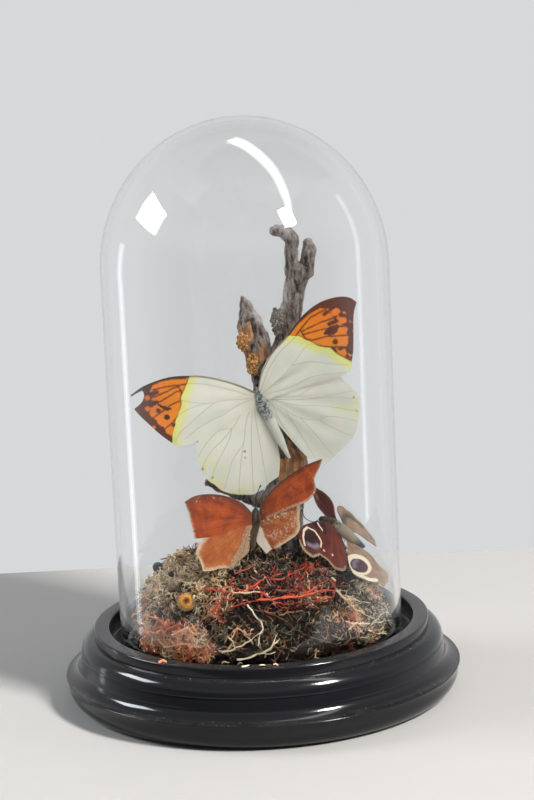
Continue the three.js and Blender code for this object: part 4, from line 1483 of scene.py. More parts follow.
EYED["wings"]["left_forewing"] = dict(
    hinge=(30.5, 0, 66.5), tip=(17, -19, 71), corner=(34.5, -13, 52), facing=1, level=FORE,
    outline=[
        (0.5, -2), (7, -3), (15.5, -2.5), (21, -1.5), (25.5, 1.5), (27.5, 4.5), (28, 7.5), (27, 10.5),
        (24.5, 12.5), (18.5, 11.5), (15.5, 14.5), (12.5, 18.5), (7.5, 19.5), (4.5, 18), (0.5, 13.5),
        (-2, 7.5), (-3, 2)],
    veins=[
        [(1, 1), (8, 4), (13.2, 3.6)],
        [(1, 1.6), (8, 7), (15, 10.4)],
        [(0.6, 2), (6, 9), (11.5, 14.5)],
        [(0, 2.4), (3.4, 10), (7.4, 17)],
    ],
    edges=[([(0.5, -1.6), (7, -2.7), (15.5, -2.2), (21, -1.2), (25.2, 1.6)], 0.34)],
    marks=dict(
        eye=oval((19.6, 4.8), (6.4, 4.4), 20),
        ring=either(
            stroke(0.42, (17.6, -0.6), (14.6, 1.2), (13.3, 3.8), (13.8, 6.4), (15.6, 8.2)),
            stroke(0.5, (18.2, -0.8), (21.6, 0.4), (24.2, 3), (25.4, 6.6)),
            stroke(0.4, (9.9, -2.2), (9, 1.2))),
        violet=stroke(0.9, (17.2, 7.6), (20.2, 8), (22.8, 6.4)),
        bar=either(stroke(1.5, (6.2, -2.4), (8, 1.6)), stroke(0.9, (11.9, -2.4), (12, 1.4))),
        dots=spots((14.3, 9.9, 0.55), (10, 12.2, 0.55)),
        margin=stroke(
            0.95, (27.8, 4.6), (27.2, 9.4), (24.2, 12.4), (18.4, 11.6), (15.3, 14.4), (12.2, 18.5),
            (7.4, 19.6), (4.4, 18.2)),
    ),
)
EYED["wings"]["left_hindwing"] = dict(
    hinge=(36.6, -1.5, 58.4), tip=(50, -10.5, 49.2), corner=(38.2, -14.5, 50.2), facing=1, level=FORE,
    outline=[
        (-2, -1.5), (1, 2), (4, 5.5), (7.5, 8.5), (11.5, 10.5), (15, 10), (18.5, 8), (20.5, 6.5), (23, 7),
        (22, 3), (19.5, -0.5), (15, -1.5), (10, -3.5), (5.5, -4), (0.5, -3.5), (-3, -4.8), (-4.4, -3.2)],
    veins=[[(-2, -2), (2, 0), (5, 3)], [(-1, -2.6), (6, -2), (14, 0), (20, 3)]],
    marks=dict(
        eye=spots((9, 4.9, 4.4)),
        ring=either(
            without(oval((8.8, 4.6), (5.9, 5), 25), oval((9.3, 5), (4, 3.5), 25)),
            stroke(0.9, (9.4, 9.4), (13, 9.2), (16.5, 8), (18.6, 6.2))),
        violet=stroke(0.5, (6.8, 3), (7, 5.4), (8.6, 7)),
        margin=stroke(0.9, (19, 7.6), (20.5, 6.5), (23, 7), (22, 3), (19.5, -0.5), (15, -1.5)),
    ),
)
EYED["wings"]["right_forewing"] = dict(
    hinge=(32, 3, 69.5), tip=(24.5, 20, 78), corner=(25, 24, 71), facing=1, level=FORE,
    outline=[
        (-0.5, -2), (0, -6), (3, -8), (10, -6), (19.5, -1), (22, 3.5), (22.5, 6.5), (18, 8.5), (11.5, 8),
        (3, 2.5), (-1.5, 3.6), (-2.6, 1)],
    veins=[[(0, 0), (8, -1.5), (18, 1.5)], [(0, 0.6), (8, 2.5), (18, 6.5)]],
    edges=[([(0, -5.4), (3, -7.6), (10, -5.7), (19.2, -0.9)], 0.32)],
    marks=dict(
        margin=either(
            stroke(0.7, (20.6, 1), (22, 3.5), (22.5, 6.5), (18, 8.5), (11.5, 8)),
            stroke(0.5, (3, -7.6), (10, -5.7), (19.2, -0.9))),
        # Painted light: this spot covers the whole wing and brightens its ground, because the wing gets
        # little light.
        lemon=spots((10, 0, 24)),
        violet=spots((17.5, 2.4, 0.9)),
    ),
)
EYED["wings"]["right_hindwing"] = dict(
    hinge=(35.5, 4.5, 66), tip=(34.6, 18, 70), corner=(49, 10, 53), facing=-1, level=FORE,
    outline=[
        (0, -1), (8, -3), (13.5, -1), (16, 3.5), (15.5, 9.5), (13, 15), (8, 20), (3.5, 19.5), (2, 14), (1, 7),
        (-3.4, 2.6), (-3.6, -0.4)],
    veins=[[(0, 1), (8, 2), (15, 5)], [(0, 2), (6, 9), (11, 16)]],
    marks=dict(
        shade=stroke(1.3, (1, -0.5), (6, 0.5), (10, 3), (12.4, 7.5), (12, 12)),
        margin=stroke(1.6, (16, 3.5), (15.5, 9.5), (13, 15), (8, 20)),
    ),
)


# The veins run broad and dark through the orange tips.
for key in ("left_forewing", "right_forewing"):
    wing = WHITE["wings"][key]
    wing["marks"]["dark"] = either(wing["marks"]["dark"], *(stroke(0.3, *line) for line in wing["veins"]))


# ------------------------------------------------------------------ flower and berries

FLORETS = 150
FLOWER_RADIUS = 3.3

class DOME_OT_add_trinkets(bpy.types.Operator):
    """Adds the button flower and the two berries"""

    bl_idname = "dome.add_trinkets"
    bl_label = "Add Flower and Berries"

    def execute(self, context):
        add_button_flower()
        for name, node, centre, radius in (
            ("large_dried_berry", "large_berry", (-40.4, -5, 54.6), 2.2),
            ("small_dried_berry", "small_berry", (-34.5, -18, 55.2), 1.35),
        ):
            add_berry(name, node, centre, radius)
        return {"FINISHED"}


def add_button_flower():
    """A round head of packed florets over a cup of small bracts."""
    centre = (-28.7, -34.5, 48.2)
    facing = Vector((0.1, -0.85, 0.52)).normalized()
    head = begin(bpy.ops.mesh.primitive_uv_sphere_add, "dried_button_flower", segments=40, ring_count=24,
                 radius=1)
    with editing():
        bpy.ops.transform.resize(value=(1, 1, 0.72))
    parts = [head]
    golden = math.pi * (3 - math.sqrt(5))
    for k in range(FLORETS):
        rise = 1 - 1.25 * (k + 0.5) / FLORETS
        ring = math.sqrt(max(0, 1 - rise * rise))
        turn = golden * k
        parts.append(begin(bpy.ops.mesh.primitive_ico_sphere_add, "floret", subdivisions=1,
                           radius=0.12 + 0.03 * math.sin(k * 1.7),
                           location=(ring * math.cos(turn), ring * math.sin(turn), rise * 0.74)))
    piece = join("dried_button_flower", parts)
    bpy.ops.object.transform_apply(location=True, rotation=True, scale=True)
    rows = places(piece.data)
    flat = np.hypot(rows[:, 0], rows[:, 1])
    rows[:, 2] -= 0.16 * np.exp(-((flat / 0.33) ** 2)) * (rows[:, 2] > 0)
    set_field(piece.data, "from_centre", flat + (rows[:, 2] < 0) * 2)
    turned = np.array(facing.to_track_quat("Z", "Y").to_matrix())
    place(piece.data, ((rows * FLOWER_RADIUS) @ turned.T + centre) * MM)
    shade = Shade("Dried florets", roughness=0.85, specular_ior_level=0.25, sheen_weight=0.25)
    grain = shade.noise(1.6, 4, 0.7)
    ring = shade.plus(shade.field("from_centre"), shade.both(grain, 0.25))
    look = shade.ramp(ring, [(0.18, (0.1, 0.035, 0.012)), (0.42, (0.42, 0.15, 0.02)),
                             (0.7, (0.9, 0.45, 0.06)), (1.0, (0.62, 0.33, 0.1))])
    under = shade.mix(shade.step(shade.field("from_centre"), 1.2, 1.6), look, (0.4, 0.33, 0.2))
    shade.set(base_color=under, normal=shade.bump(grain, 0.2, 0.7))
    smooth(piece, 60)
    hand_over(piece, ["button_flower"], [shade.material])


def add_berry(name, node, centre, radius):
    """A shrivelled berry with a small crown."""
    ball = begin(bpy.ops.mesh.primitive_uv_sphere_add, name, segments=48, ring_count=32, radius=1)
    rows = places(ball.data)
    wrinkles = 0.96 + 0.07 * wander(rows, (2.3, 2.3, 1.4), centre) + 0.02 * wander(rows, 7)
    place(ball.data, rows * wrinkles[:, None] * radius)
    parts = [ball]
    for k in range(5):
        turn = k * 2 * math.pi / 5
        out, aside = math.cos(turn), math.sin(turn)
        parts.append(begin(bpy.ops.mesh.primitive_cone_add, "sepal", vertices=5, radius1=radius * 0.16,
                           radius2=radius * 0.02, depth=radius * 0.42,
                           location=(radius * 0.2 * out, radius * 0.2 * aside, radius * 0.98),
                           rotation=(0.5 * aside, -0.5 * out, 0)))
    piece = join(name, parts)
    bpy.ops.object.transform_apply(location=True, rotation=True, scale=True)
    tilt = np.array(Vector((-0.2, -0.75, 0.6)).normalized().to_track_quat("Z", "Y").to_matrix())
    place(piece.data, (places(piece.data) @ tilt.T + centre) * MM)
    shade = Shade(f"{name.replace('_', ' ')} skin", specular_ior_level=0.4)
    bloom = shade.noise(0.9, 4, 0.6)
    shade.set(base_color=shade.ramp(bloom, [(0.35, (0.01, 0.008, 0.01)), (0.6, (0.028, 0.024, 0.03)),
                                            (0.8, (0.085, 0.075, 0.09))]),
              roughness=shade.between(bloom, 0.35, 0.75),
              normal=shade.bump(shade.noise(2.4, 4, 0.6), 0.15, 0.7))
    smooth(piece, 50)
    hand_over(piece, [node], [shade.material])


# ------------------------------------------------------------------ moss

HEAP_SEGMENTS = 160
HEAP_RINGS = 60
HEAP_DEPTH = 3.8
SPRIG_LENGTH = 10
# How deep below the skin the painted shade of the strands reaches, in millimetres.
PAINTED_SHADE_DEPTH = 4.2
STRAY_SPRIGS = 180

def mound_rows(extra):
    """Rows of the mound's skin, extra millimetres outside it, ring by ring from the foot to the top."""
    out = []
    for i in range(HEAP_RINGS + 1):
        climb = math.pi / 2 * i / HEAP_RINGS
        flat, up = math.cos(climb), math.sin(climb)
        for k in range(HEAP_SEGMENTS):
            angle = 2 * math.pi * k / HEAP_SEGMENTS
            reach = flat ** (2 / MOUND_ROUNDNESS) * (MOUND_RADIUS + extra)
            height = MOUND_HEIGHT + extra - MOUND_LEAN * math.cos(angle) * flat
            out.append((reach * math.cos(angle), reach * math.sin(angle),
                        PLATFORM_TOP + up ** (2 / MOUND_ROUNDNESS) * height))
    return np.array(out)


def outward_from_mound(spots):
    """The mound's smooth outward direction near each place."""
    flat = np.hypot(spots[:, 0], spots[:, 1])
    angle = np.arctan2(spots[:, 1], spots[:, 0])
    steep = (flat / MOUND_RADIUS) ** (MOUND_ROUNDNESS - 1) / MOUND_RADIUS
    up = np.clip((spots[:, 2] - PLATFORM_TOP) / MOUND_HEIGHT, 0, 1.5)
    rise = up ** (MOUND_ROUNDNESS - 1) / MOUND_HEIGHT
    return unit(np.column_stack([steep * np.cos(angle), steep * np.sin(angle), rise]))


def grow_twig(start, way, reach, width, steps, bend, taper, dice):
    """Extrudes a three-sided twig in the open mesh; returns where it went and which way it faced."""
    bpy.ops.mesh.primitive_circle_add(vertices=3, radius=width, fill_type="NGON", location=start,
                                      rotation=way.to_track_quat("Z", "Y").to_euler())
    passed = []
    for _ in range(steps):
        stride = way * (reach / steps)
        bpy.ops.mesh.extrude_region_move(TRANSFORM_OT_translate={"value": tuple(stride)})
        bpy.ops.transform.resize(value=(taper,) * 3)
        start = start + stride
        passed.append((start, way))
        way = (way + Vector(dice.gauss(0, bend) for _ in range(3))).normalized()
    return passed


def grow_sprig(name, arms, twiglets, bend, width, dice):
    """One sprig, modelled once: its rows and its triangles."""
    piece = begin(bpy.ops.mesh.primitive_circle_add, name, vertices=3, radius=1)
    bpy.ops.object.mode_set(mode="EDIT")
    bpy.ops.mesh.select_all(action="SELECT")
    bpy.ops.mesh.delete(type="VERT")
    spine = grow_twig(Vector((0, 0, 0)), Vector((0, 0, 1)), SPRIG_LENGTH, width, 6, bend, 0.92, dice)
    for spot, way in dice.sample(spine[:-1], arms):
        turn = dice.uniform(0, 2 * math.pi)
        aside = (way * dice.uniform(0.2, 0.8) + Vector((math.cos(turn), math.sin(turn), 0))).normalized()
        arm = grow_twig(spot, aside, dice.uniform(2.2, 4.6), width * 0.78, 3, bend * 1.2, 0.82, dice)
        if dice.random() < twiglets:
            fork = (arm[1][1] + Vector(dice.gauss(0, 0.7) for _ in range(3))).normalized()
            grow_twig(arm[1][0], fork, dice.uniform(1.1, 2.2), width * 0.6, 2, bend, 0.8, dice)
    bpy.ops.mesh.select_all(action="SELECT")
    bpy.ops.mesh.normals_make_consistent(inside=False)
    bpy.ops.mesh.quads_convert_to_tris()
    bpy.ops.object.mode_set(mode="OBJECT")
    rows = places(piece.data)
    triangles = np.array([tuple(face.vertices) for face in piece.data.polygons])
    bpy.data.objects.remove(piece)
    return rows, triangles


def scatter(name, spots, sprigs, plan, dice, material, tints=None):
    """Copies of the sprigs laid on their places, across the skin of the moss and down into it."""
    corners, faces, tint, along = [], [], [], []
    total = 0
    for k, (spot, outward) in enumerate(zip(spots, outward_from_mound(spots))):
        rows, triangles = sprigs[dice.integers(len(sprigs))]
        spin = dice.uniform(0, 2 * math.pi)
        around = np.array([[math.cos(spin), -math.sin(spin), 0],
                           [math.sin(spin), math.cos(spin), 0], [0, 0, 1]])
        way = dice.normal(0, 1, 3)
        way += outward * (dice.uniform(*plan["rise"]) - way @ outward * plan["flat"])
        turned = np.array(Vector(way).to_track_quat("Z", "Y").to_matrix())
        placed = rows @ (turned @ around).T * (dice.uniform(*plan["reach"]) / SPRIG_LENGTH)
        placed -= placed.mean(axis=0)
        heights = placed @ outward
        placed += spot - outward * (heights.max() + dice.uniform(*plan["sink"]))
        corners.append(placed)
        faces.append(triangles + total)
        total += len(rows)
        hue = 0.5 + 0.7 * noise.noise(Vector(spot) / plan["patch"]) if tints is None else tints[k]
        hue += dice.normal(0, 0.22 if tints is None else 0.13)
        tint.append(np.full(len(rows), np.clip(hue, 0, 1)))
        # How far out each corner lies, which sets the painted shade of deep strands.
        along.append(np.clip(1 + (placed - spot) @ outward / PAINTED_SHADE_DEPTH, 0, 1))
    piece = mesh_of(name, settle(np.vstack(corners)), np.vstack(faces).tolist())
    return coloured(piece, np.concatenate(tint), np.concatenate(along), material)


def coloured(piece, tint, along, material):
    """Stores what a strand material reads: its place in the ramp, and how far out it lies, which sets its
    painted shade.
    """
    set_field(piece.data, "tint", np.resize(tint, len(piece.data.vertices)))
    set_field(piece.data, "along", np.resize(along, len(piece.data.vertices)))
    piece.data.materials.append(material)
    return piece


def settle(rows):
    """Keeps every strand above the platform and clear of the glass."""
    out = rows.copy()
    out[:, 2] = np.maximum(out[:, 2], PLATFORM_TOP + 0.05)
    flat = np.hypot(out[:, 0], out[:, 1])
    most = np.where(out[:, 2] < PLATFORM_TOP + 1.2, PLATFORM_RADIUS - 0.2, PLATFORM_RADIUS + 0.6)
    shrink = np.minimum(1, most / np.maximum(flat, 1e-6))
    out[:, :2] *= shrink[:, None]
    return out


def skin_spots(node, others, count, dice):
    """Places spread over the part of a moss solid that shows, in millimetres."""
    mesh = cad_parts[node].data
    rows = places(mesh) / MM
    mesh.calc_loop_triangles()
    triangles = np.array([tuple(t.vertices) for t in mesh.loop_triangles])
    a, b, c = (rows[triangles[:, k]] for k in range(3))
    crosses = np.cross(b - a, c - a)
    normals = unit(crosses)
    middles = (a + b + c) / 3
    shown = [
        middle[2] > PLATFORM_TOP + 0.3 and normal[2] > -0.3
        and all(others.ray_cast(Vector(middle + normal * 0.25), Vector(way), far)[0] is None
                for way, far in ((normal, 9), ((0, 0, 1), 60)))
        for middle, normal in zip(middles, normals)
    ]
    weights = np.linalg.norm(crosses, axis=1) / 2 * np.array(shown) * np.where(middles[:, 1] < 8, 1.6, 1)
    chosen = dice.choice(len(triangles), count, p=weights / weights.sum())
    u, v = dice.random(count), dice.random(count)
    over = u + v > 1
    u[over], v[over] = 1 - u[over], 1 - v[over]
    return a[chosen] + (b - a)[chosen] * u[:, None] + (c - a)[chosen] * v[:, None]


def patch_spots(skins, patches, dice):
    """Places gathered round the patches' middles on the outermost skin, and the tint of each."""
    found, tints = [], []
    for middle, spread, count, tint in patches:
        near = np.array(middle) + dice.normal(0, spread, (count, 3))
        for place_near, way in zip(near, outward_from_mound(near)):
            hit = skins.ray_cast(Vector(place_near + way * 14), Vector(-way), 40)[0]
            if hit:
                found.append(tuple(hit))
                tints.append(tint)
    return np.array(found), tints


def join_skins():
    """The solids of every moss as one search tree, in millimetres."""
    corners, faces = [], []
    for node in TUFTS:
        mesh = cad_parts[node].data
        mesh.calc_loop_triangles()
        start = len(corners)
        corners.extend(Vector(row) for row in places(mesh) / MM)
        faces.extend(tuple(start + v for v in t.vertices) for t in mesh.loop_triangles)
    return BVHTree.FromPolygons(corners, faces)


def strand_material(name, stops):
    """Dry strands: a colour of the ramp for each sprig, with painted shade that darkens them deep down."""
    shade = Shade(name, roughness=0.85, specular_ior_level=0.25)
    look = shade.ramp(shade.plus(shade.field("tint"), shade.swing(shade.noise(0.9, 3), 0.12)), stops)
    # Painted shade: the deeper a strand lies in the mat, the more it is mixed towards near-black.
    shade.set(base_color=shade.mix(shade.step(shade.field("along"), 0.85, 0.1, 0.9), look,
                                   (0.014, 0.009, 0.007)))
    return shade.material


# Stems and twigs that lie on the moss one by one: the tint of each, its radius and its points.
LOOSE_TWIGS = (
    (0.98, 0.42,
     [(-4.8, -44.9, 48.8), (-2.3, -47.6, 45.7), (0.2, -50.2, 41.9), (-0.7, -51.6, 38.7),
      (-1.7, -52.8, 34.9)]),
    (0.62, 0.17,
     [(-2.2, -46.6, 47.4), (6.6, -48.2, 44.6), (14.8, -49.5, 38.5), (22.5, -47.8, 34.3),
      (30.2, -43.8, 30.4)]),
    (0.94, 0.32, [(-15.7, -50.8, 32), (-10.2, -52, 33.9), (-4.7, -52.3, 36.9), (0.5, -51.6, 39.8)]),
    (0.9, 0.24, [(-10.2, -52, 33.9), (-11.6, -51, 36.9), (-13.1, -50.2, 38.4)]),
    (0.96, 0.42, [(-9.7, -52.6, 29.6), (-2.6, -53.2, 31.2), (3.7, -52.8, 34.6), (5.4, -51.6, 38)]),
    (0.93, 0.3, [(-0.2, -53, 32.3), (2.6, -53.1, 31.6), (5, -52.6, 31.9)]),
    (0.95, 0.3, [(3.7, -52.8, 34.6), (6.5, -52, 36)]),
    (0.92, 0.36, [(32.7, -39.7, 38.5), (38.7, -35.2, 36.2), (45, -27.8, 34.2), (49.6, -18, 32.4)]),
    (0.9, 0.3, [(35.5, -37.8, 37.4), (33.3, -40.4, 35.6)]),
    (0.9, 0.28, [(43.2, -30.2, 34.8), (46.8, -26.6, 37)]),
    (0.9, 0.35, [(41, -33.6, 32.9), (45.1, -28.6, 30), (48.5, -22, 28.2)]),
    (0.86, 0.35, [(29.6, -31.4, 49.2), (33.3, -33.1, 45.6), (38.2, -33.1, 40.4), (43.6, -28.3, 36.2)]),
    (0.86, 0.28, [(33.3, -33.1, 45.6), (37.7, -29.4, 44.2), (43, -24.9, 41)]),
    (0.74, 0.5, [(-34.5, -12.3, 56.8), (-31.3, -10.4, 58.7), (-26.4, -10.6, 60.4)]),
)
# Bits that fell from the moss: the first two inside the glass, the others on the ring round it.
CRUMBS = (
    (0.9, 0.35, [(-16, -48.4, 27.5), (-14.8, -49, 28), (-13.2, -49.2, 27.5)]),
    (0.9, 0.3, [(-9.8, -51, 27.4), (-9, -51.4, 28), (-8, -51, 27.5)]),
    (0.4, 0.42, [(-40, -54.4, 30.4), (-38.4, -54.8, 30.9), (-37.4, -56, 30.4)]),
    (0.4, 0.36, [(-38.1, -55.4, 30.6), (-37.4, -54.2, 30.5)]),
    (0.5, 0.36, [(-39.4, -53.2, 30.4), (-38.8, -52, 30.4)]),
    (0.86, 0.27, [(-1.6, -64.6, 30.4), (-0.4, -65.2, 30.8), (0.7, -64.4, 30.4)]),
    (0.86, 0.24, [(3.8, -64.4, 30.4), (4.9, -64.9, 30.6), (5.6, -65.5, 30.4)]),
    (0.9, 0.28, [(-8, -63.9, 30.4), (-6.8, -64.2, 30.4), (-5.6, -64, 30.4)]),
)
# Longer dyed strands that lie over their own moss.
DYED_TWIGS = {
    "red_moss": (
        (0.62, 0.42, [(-21.4, -34.8, 53.5), (-13.6, -39, 53), (-5.8, -40.9, 52.8), (0.9, -40.3, 53)]),
        (0.6, 0.4, [(-5.8, -40.9, 52.8), (-0.5, -36.5, 55.3), (3.5, -33.3, 56.8)]),
        (0.66, 0.45, [(-0.9, -43.6, 50.3), (9.7, -42.2, 50.4), (17.5, -39.5, 50.1), (26.8, -32.3, 50.5)]),
        (0.6, 0.38, [(15.5, -40.4, 50), (20.4, -36, 51.4), (24.6, -30.6, 52.6)]),
        (0.55, 0.38, [(0.9, -40.3, 53), (4.6, -43.3, 50), (11.4, -44.6, 47.6)]),
        (0.6, 0.42, [(-18.9, -44, 46.6), (-14.9, -42.3, 50), (-9.8, -42.1, 51.3)]),
        (0.95, 0.4, [(-10.5, -40.6, 53.2), (-4.8, -41.6, 53), (0, -41.2, 53.2)]),
        (0.6, 0.32, [(-9.7, -32.9, 56.7), (-11.2, -35.8, 55.1), (-9.2, -38, 54.1), (-5.8, -40.1, 52.8)]),
        (0.66, 0.3, [(4.2, -33.6, 56.2), (8.4, -33.8, 55.3), (12.8, -29.5, 56.4), (18.6, -22.7, 57.1)]),
        (0.7, 0.34,
         [(8, -41.6, 50.7), (12.2, -41.1, 50), (15.7, -39.4, 50.4), (21.4, -36.3, 50.3), (30, -30.5, 49.3)]),
        (0.56, 0.28, [(-17.2, -45, 45.8), (-12.3, -45.2, 47.4), (-9.4, -44.5, 48.9), (-1.1, -43.8, 50)]),
        (0.6, 0.26, [(-1.1, -43.8, 50), (1.1, -41.6, 51.8), (-1.5, -38.4, 53.9), (-5.6, -36.7, 55.1)]),
        (0.55, 0.28, [(5.3, -41.3, 51.5), (7.5, -38, 53.3), (10.5, -34.1, 54.9), (12.1, -27.3, 57.3)]),
        (0.62, 0.26, [(25.8, -19.1, 55.7), (26.5, -25.9, 53.2), (29.3, -30.3, 50), (28.3, -35.4, 47.2)]),
        (0.5, 0.26, [(14.8, -43.3, 47.3), (19, -41.6, 47.3), (21.7, -42.1, 45.1)]),
        (0.68, 0.24, [(-9.7, -30.4, 57.8), (-5.4, -28.7, 58.6), (-1.1, -25.4, 59.6)]),
        (0.58, 0.26, [(13.8, -36.8, 52.7), (16.1, -32.7, 54.2), (20.1, -20.8, 57.2)]),
        (0.5, 0.24, [(5.8, -44.5, 48.8), (9.9, -45.5, 46.7), (14.8, -43.3, 47.3)]),
        (0.6, 0.26, [(-15.8, -45.2, 46.1), (-16.9, -46, 44.6), (-13.2, -47.4, 44.1)]),
        (0.72, 0.22, [(22.1, -37, 49.4), (24.4, -32, 51.4), (23.9, -29.5, 53)]),
    ),
    "pink_moss": (
        (0.5, 0.36, [(-47.5, -22.4, 36.8), (-45.1, -24.8, 40.3), (-40.7, -30.8, 41.2), (-37.9, -34.9, 40.1)]),
        (0.62, 0.42, [(-40, -35, 33.7), (-36.8, -38.6, 31.7), (-31.1, -42.9, 33.9), (-23.4, -47.7, 33.9)]),
        (0.45, 0.34,
         [(-46.8, -24.6, 35.2), (-41.7, -32.3, 35.8), (-37.3, -36.6, 37.7), (-32.1, -39.5, 41.2)]),
        (0.7, 0.36, [(-34.5, -39.8, 36.3), (-28.7, -42.6, 39.8), (-24.6, -46, 37.8)]),
        (0.56, 0.36, [(-51.4, -11.4, 36.6), (-47.4, -19.5, 41.1), (-44.3, -22.1, 44.6)]),
        (0.66, 0.32, [(-28.8, -44.1, 35.9), (-25.2, -45.3, 39), (-27.2, -42.6, 41.9)]),
    ),
}

# Gatherings of sprigs on each moss: the middle, how far they spread, how many, and their tint.
PATCHES = {
    "cream_moss": (
        ((-21.7, -30, 55.4), 3.6, 40, 0.5), ((-15.5, -37.2, 52.8), 3.6, 44, 0.68),
        ((-19.9, -40.9, 48.3), 3.2, 34, 0.7), ((-11.1, -31.4, 56.7), 3.4, 26, 0.42),
        ((-48.2, -16.1, 40.8), 3.6, 30, 0.56), ((-50, -16.5, 33.6), 3, 20, 0.56),
        ((-41.3, -21.6, 48), 3.6, 26, 0.6), ((-43.6, -25, 41.8), 3.6, 26, 0.56),
        ((-31.4, 8, 57.3), 4, 26, 0.62)),
    "pink_moss": (
        ((-46.7, -22.2, 38.1), 3, 24, 0.84), ((-44.7, -27.8, 33.8), 3, 20, 0.82),
        ((-35.9, -37.8, 35.8), 3.5, 26, 0.84), ((-27.3, -43.6, 38.6), 3, 18, 0.72)),
    "red_moss": (
        ((-3.9, -21.5, 60.1), 4, 26, 0.4), ((5.2, -23.9, 58.9), 4.5, 30, 0.42),
        ((12.5, -16.7, 59.4), 4.5, 20, 0.36), ((23.9, -28.6, 52.7), 4, 18, 0.4),
        ((1.1, -40.9, 51.6), 4, 10, 0.84)),
    "grey_lichen_moss": (
        ((32.7, -30.5, 47), 3, 22, 0.7), ((43.6, -20.5, 42.7), 3, 16, 0.6),
        ((39.4, -32.1, 38.3), 3.4, 22, 0.68), ((31.4, -38.5, 40.7), 3.4, 22, 0.55)),
    "dark_moss_bed": (
        ((-16.3, -49.4, 36.2), 3.4, 16, 0.5), ((-6.5, -50.8, 38.4), 3.4, 18, 0.62),
        ((3.8, -51.3, 37.3), 3.4, 16, 0.6), ((21.2, -47, 37.2), 5, 24, 0.35),
        ((18.3, -41.9, 46.7), 4, 16, 0.3), ((10.9, -48.9, 40.5), 4.5, 18, 0.32),
        ((-11.7, -46.4, 45.2), 3.6, 18, 0.5)),
}


def add_twigs(twigs, material, inside=True):
    """Single twigs, each a bent tube; inside keeps them clear of the glass from within."""
    made = []
    for k, (tint, radius, points) in enumerate(twigs):
        twig = tube(f"twig_{k}", points, [radius, radius * 0.85, radius * 0.5], 8 * len(points), 8)
        rows = places(twig.data) / MM
        rows += [noise.noise_vector(Vector(row) / 2.4) * 0.7 for row in rows]
        place(twig.data, (settle(rows) if inside else rows) * MM)
        made.append(coloured(twig, tint, 1, material))
    return made


def add_heap(material):
    """The heap below the strands: the bed's dark fibres, with painted shade laid over them almost to black.
    """
    rows = mound_rows(-HEAP_DEPTH)
    rough = 1.9 * wander(rows, 1 / 4.5) + 1.045 * wander(rows, 1 / 1.8)
    rows += outward_from_mound(rows) * rough[:, None]
    rows[:, 2] = np.maximum(rows[:, 2], PLATFORM_TOP + 0.02)
    rows[:HEAP_SEGMENTS, 2] = PLATFORM_TOP + 0.02
    ring = np.arange(HEAP_SEGMENTS)
    after = (ring + 1) % HEAP_SEGMENTS
    band = np.column_stack([ring, after, after + HEAP_SEGMENTS, ring + HEAP_SEGMENTS])
    faces = np.vstack([band + HEAP_SEGMENTS * k for k in range(HEAP_RINGS)]).tolist()
    heap = mesh_of("heap", rows, faces + [ring[::-1].tolist()])
    clean_up(heap, 1e-5)
    patch = wander(places(heap.data) / MM, 1 / 1.6)
    # The heap counts as lying deep, so nine tenths of the strands' painted shade darkens it.
    return coloured(heap, np.clip(0.3 + 0.5 * patch, 0, 1), 0.1, material)


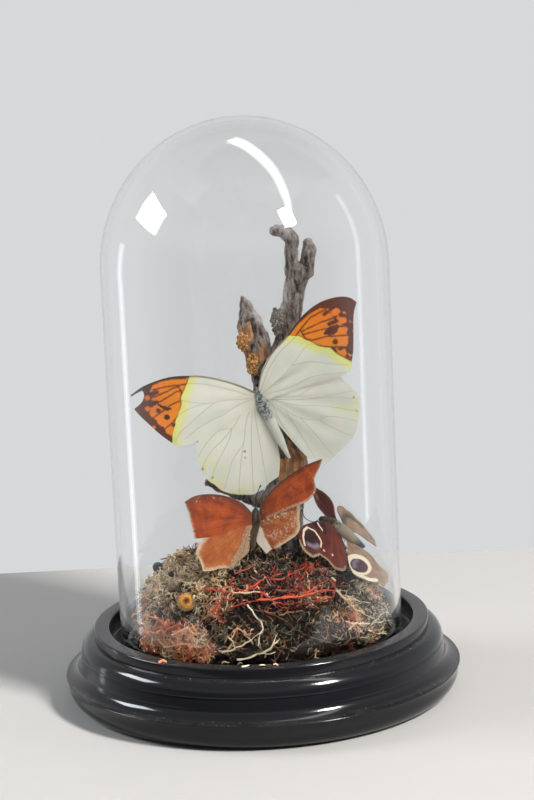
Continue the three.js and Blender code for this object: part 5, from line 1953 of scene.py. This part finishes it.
class DOME_OT_add_moss(bpy.types.Operator):
    """Adds the mosses, each a mat of joined strands over the dark heap"""

    bl_idname = "dome.add_moss"
    bl_label = "Add Moss"

    def execute(self, context):
        settings = context.scene.dome.moss
        dice = random.Random(71)
        # Without a seed the wobble of the single twigs would come from the clock.
        noise.seed_set(71)
        width = settings.strand / MM
        curly = [grow_sprig(f"curly_{k}", 5, 0.7, 0.6, width, dice) for k in range(14)]
        wiry = [grow_sprig(f"wiry_{k}", 3, 0.3, 0.42, width * 0.8, dice) for k in range(14)]
        roll = np.random.default_rng(19)
        skins = join_skins()
        cream, pink, red, dark = palette(settings, "cream", "pink", "red", "dark")
        green, brown, straw = (0.26, 0.245, 0.17), (0.1, 0.055, 0.033), (0.5, 0.27, 0.12)
        curl = dict(reach=(7, 12.5), rise=(-0.2, 1.4), flat=0.3, sink=(-1.2, 3), patch=10)
        wire = dict(curl, reach=(9, 17), rise=(-0.4, 0.6), flat=0.75)
        plans = {
            "cream_moss": (560, curly, curl, [
                (0.0, (0.05, 0.035, 0.025)), (0.16, straw), (0.26, toned(green, 1.3, 1.1, 0.95)),
                (0.4, toned(cream, 0.8, 0.75, 0.66)), (0.54, cream), (0.8, toned(cream, 1.05, 1.2, 1.4)),
                (1.0, (0.56, 0.2, 0.1))]),
            "pink_moss": (420, curly, curl, [
                (0.0, brown), (0.1, straw), (0.18, (0.6, 0.09, 0.05)), (0.42, pink),
                (0.66, toned(pink, 1.08, 1.9, 1.7)), (0.86, toned(cream, 1.06, 0.95, 0.85)),
                (1.0, toned(cream, 1.06, 1.2, 1.3))]),
            "red_moss": (880, wiry, wire, [
                (0.0, dark), (0.2, (0.1, 0.085, 0.07)), (0.34, (0.2, 0.15, 0.11)),
                (0.46, (0.13, 0.028, 0.02)), (0.58, red), (0.7, toned(red, 1.2, 2.6, 2.2)),
                (0.82, (0.3, 0.26, 0.2)), (1.0, cream)]),
            "grey_lichen_moss": (480, curly, curl, [
                (0.0, dark), (0.2, brown), (0.36, green), (0.54, toned(cream, 0.72, 0.78, 0.84)),
                (0.76, toned(cream, 1.0, 1.12, 1.28)), (1.0, pink)]),
            "dark_moss_bed": (830, wiry, wire, [
                (0.0, (0.012, 0.01, 0.009)), (0.3, dark), (0.5, (0.075, 0.042, 0.026)), (0.64, brown),
                (0.76, (0.19, 0.105, 0.06)), (0.88, (0.3, 0.075, 0.05)), (1.0, straw)]),
        }
        stray_look = strand_material("Stray sprigs", [
            (0.0, dark), (0.22, brown), (0.4, green), (0.55, straw), (0.7, cream), (0.82, pink),
            (1.0, toned(cream, 1.05, 1.15, 1.3))])
        loose_look = strand_material("Loose twigs", [
            (0.5, pink), (0.6, (0.2, 0.11, 0.06)), (0.72, (0.3, 0.12, 0.07)), (0.85, toned(cream, 0.95)),
            (1.0, (0.86, 0.76, 0.6))])
        for node, (count, sprigs, plan, stops) in plans.items():
            look = strand_material(f"{node.replace('_', ' ')} strands", stops)
            spots = skin_spots(node, skins, count, roll)
            parts = [scatter(f"{node}_strands", spots, sprigs, plan, roll, look)]
            spots, tints = patch_spots(skins, PATCHES[node], roll)
            parts.append(scatter("patch_sprigs", spots, curly, curl, roll, stray_look, tints))
            if node == "dark_moss_bed":
                parts.append(add_heap(look))
                spots = skin_spots(node, skins, STRAY_SPRIGS, roll)
                parts.append(scatter("stray_sprigs", spots, curly, curl, roll, stray_look))
                parts += add_twigs(LOOSE_TWIGS, loose_look) + add_twigs(CRUMBS, loose_look, inside=False)
            parts += add_twigs(DYED_TWIGS.get(node, ()), look)
            piece = join(f"{node}_strands", parts)
            piece.data.polygons.foreach_set("use_smooth", [True] * len(piece.data.polygons))
            hand_over(piece, [node])
        return {"FINISHED"}


# ------------------------------------------------------------------ panel and registration

OPERATORS = (
    DOME_OT_add_stage,
    DOME_OT_add_base,
    DOME_OT_add_glass,
    DOME_OT_add_branch,
    DOME_OT_add_lichens,
    DOME_OT_add_white_butterfly,
    DOME_OT_add_orange_butterfly,
    DOME_OT_add_eyed_butterfly,
    DOME_OT_add_trinkets,
    DOME_OT_add_moss,
)


class DOME_PT_panel(bpy.types.Panel):
    """Lists every operator of the dome"""

    bl_label = "Glass Dome"
    bl_idname = "DOME_PT_panel"
    bl_space_type = "VIEW_3D"
    bl_region_type = "UI"
    bl_category = "Dome"

    def draw(self, context):
        for operator in OPERATORS:
            self.layout.operator(operator.bl_idname)


CLASSES = (
    StageSettings, BaseSettings, GlassSettings, WoodSettings, ButterflySettings, MossSettings,
    DomeSettings, *OPERATORS, DOME_PT_panel,
)


def register():
    for cls in CLASSES:
        bpy.utils.register_class(cls)
    bpy.types.Scene.dome = bpy.props.PointerProperty(type=DomeSettings)


def unregister():
    del bpy.types.Scene.dome
    for cls in reversed(CLASSES):
        bpy.utils.unregister_class(cls)


def main():
    register()
    bpy.ops.dome.add_stage()
    bpy.ops.dome.add_base()
    bpy.ops.dome.add_glass()
    bpy.ops.dome.add_branch()
    bpy.ops.dome.add_lichens()
    bpy.ops.dome.add_white_butterfly()
    bpy.ops.dome.add_orange_butterfly()
    bpy.ops.dome.add_eyed_butterfly()
    bpy.ops.dome.add_trinkets()
    bpy.ops.dome.add_moss()


if __name__ == "__main__":
    main()
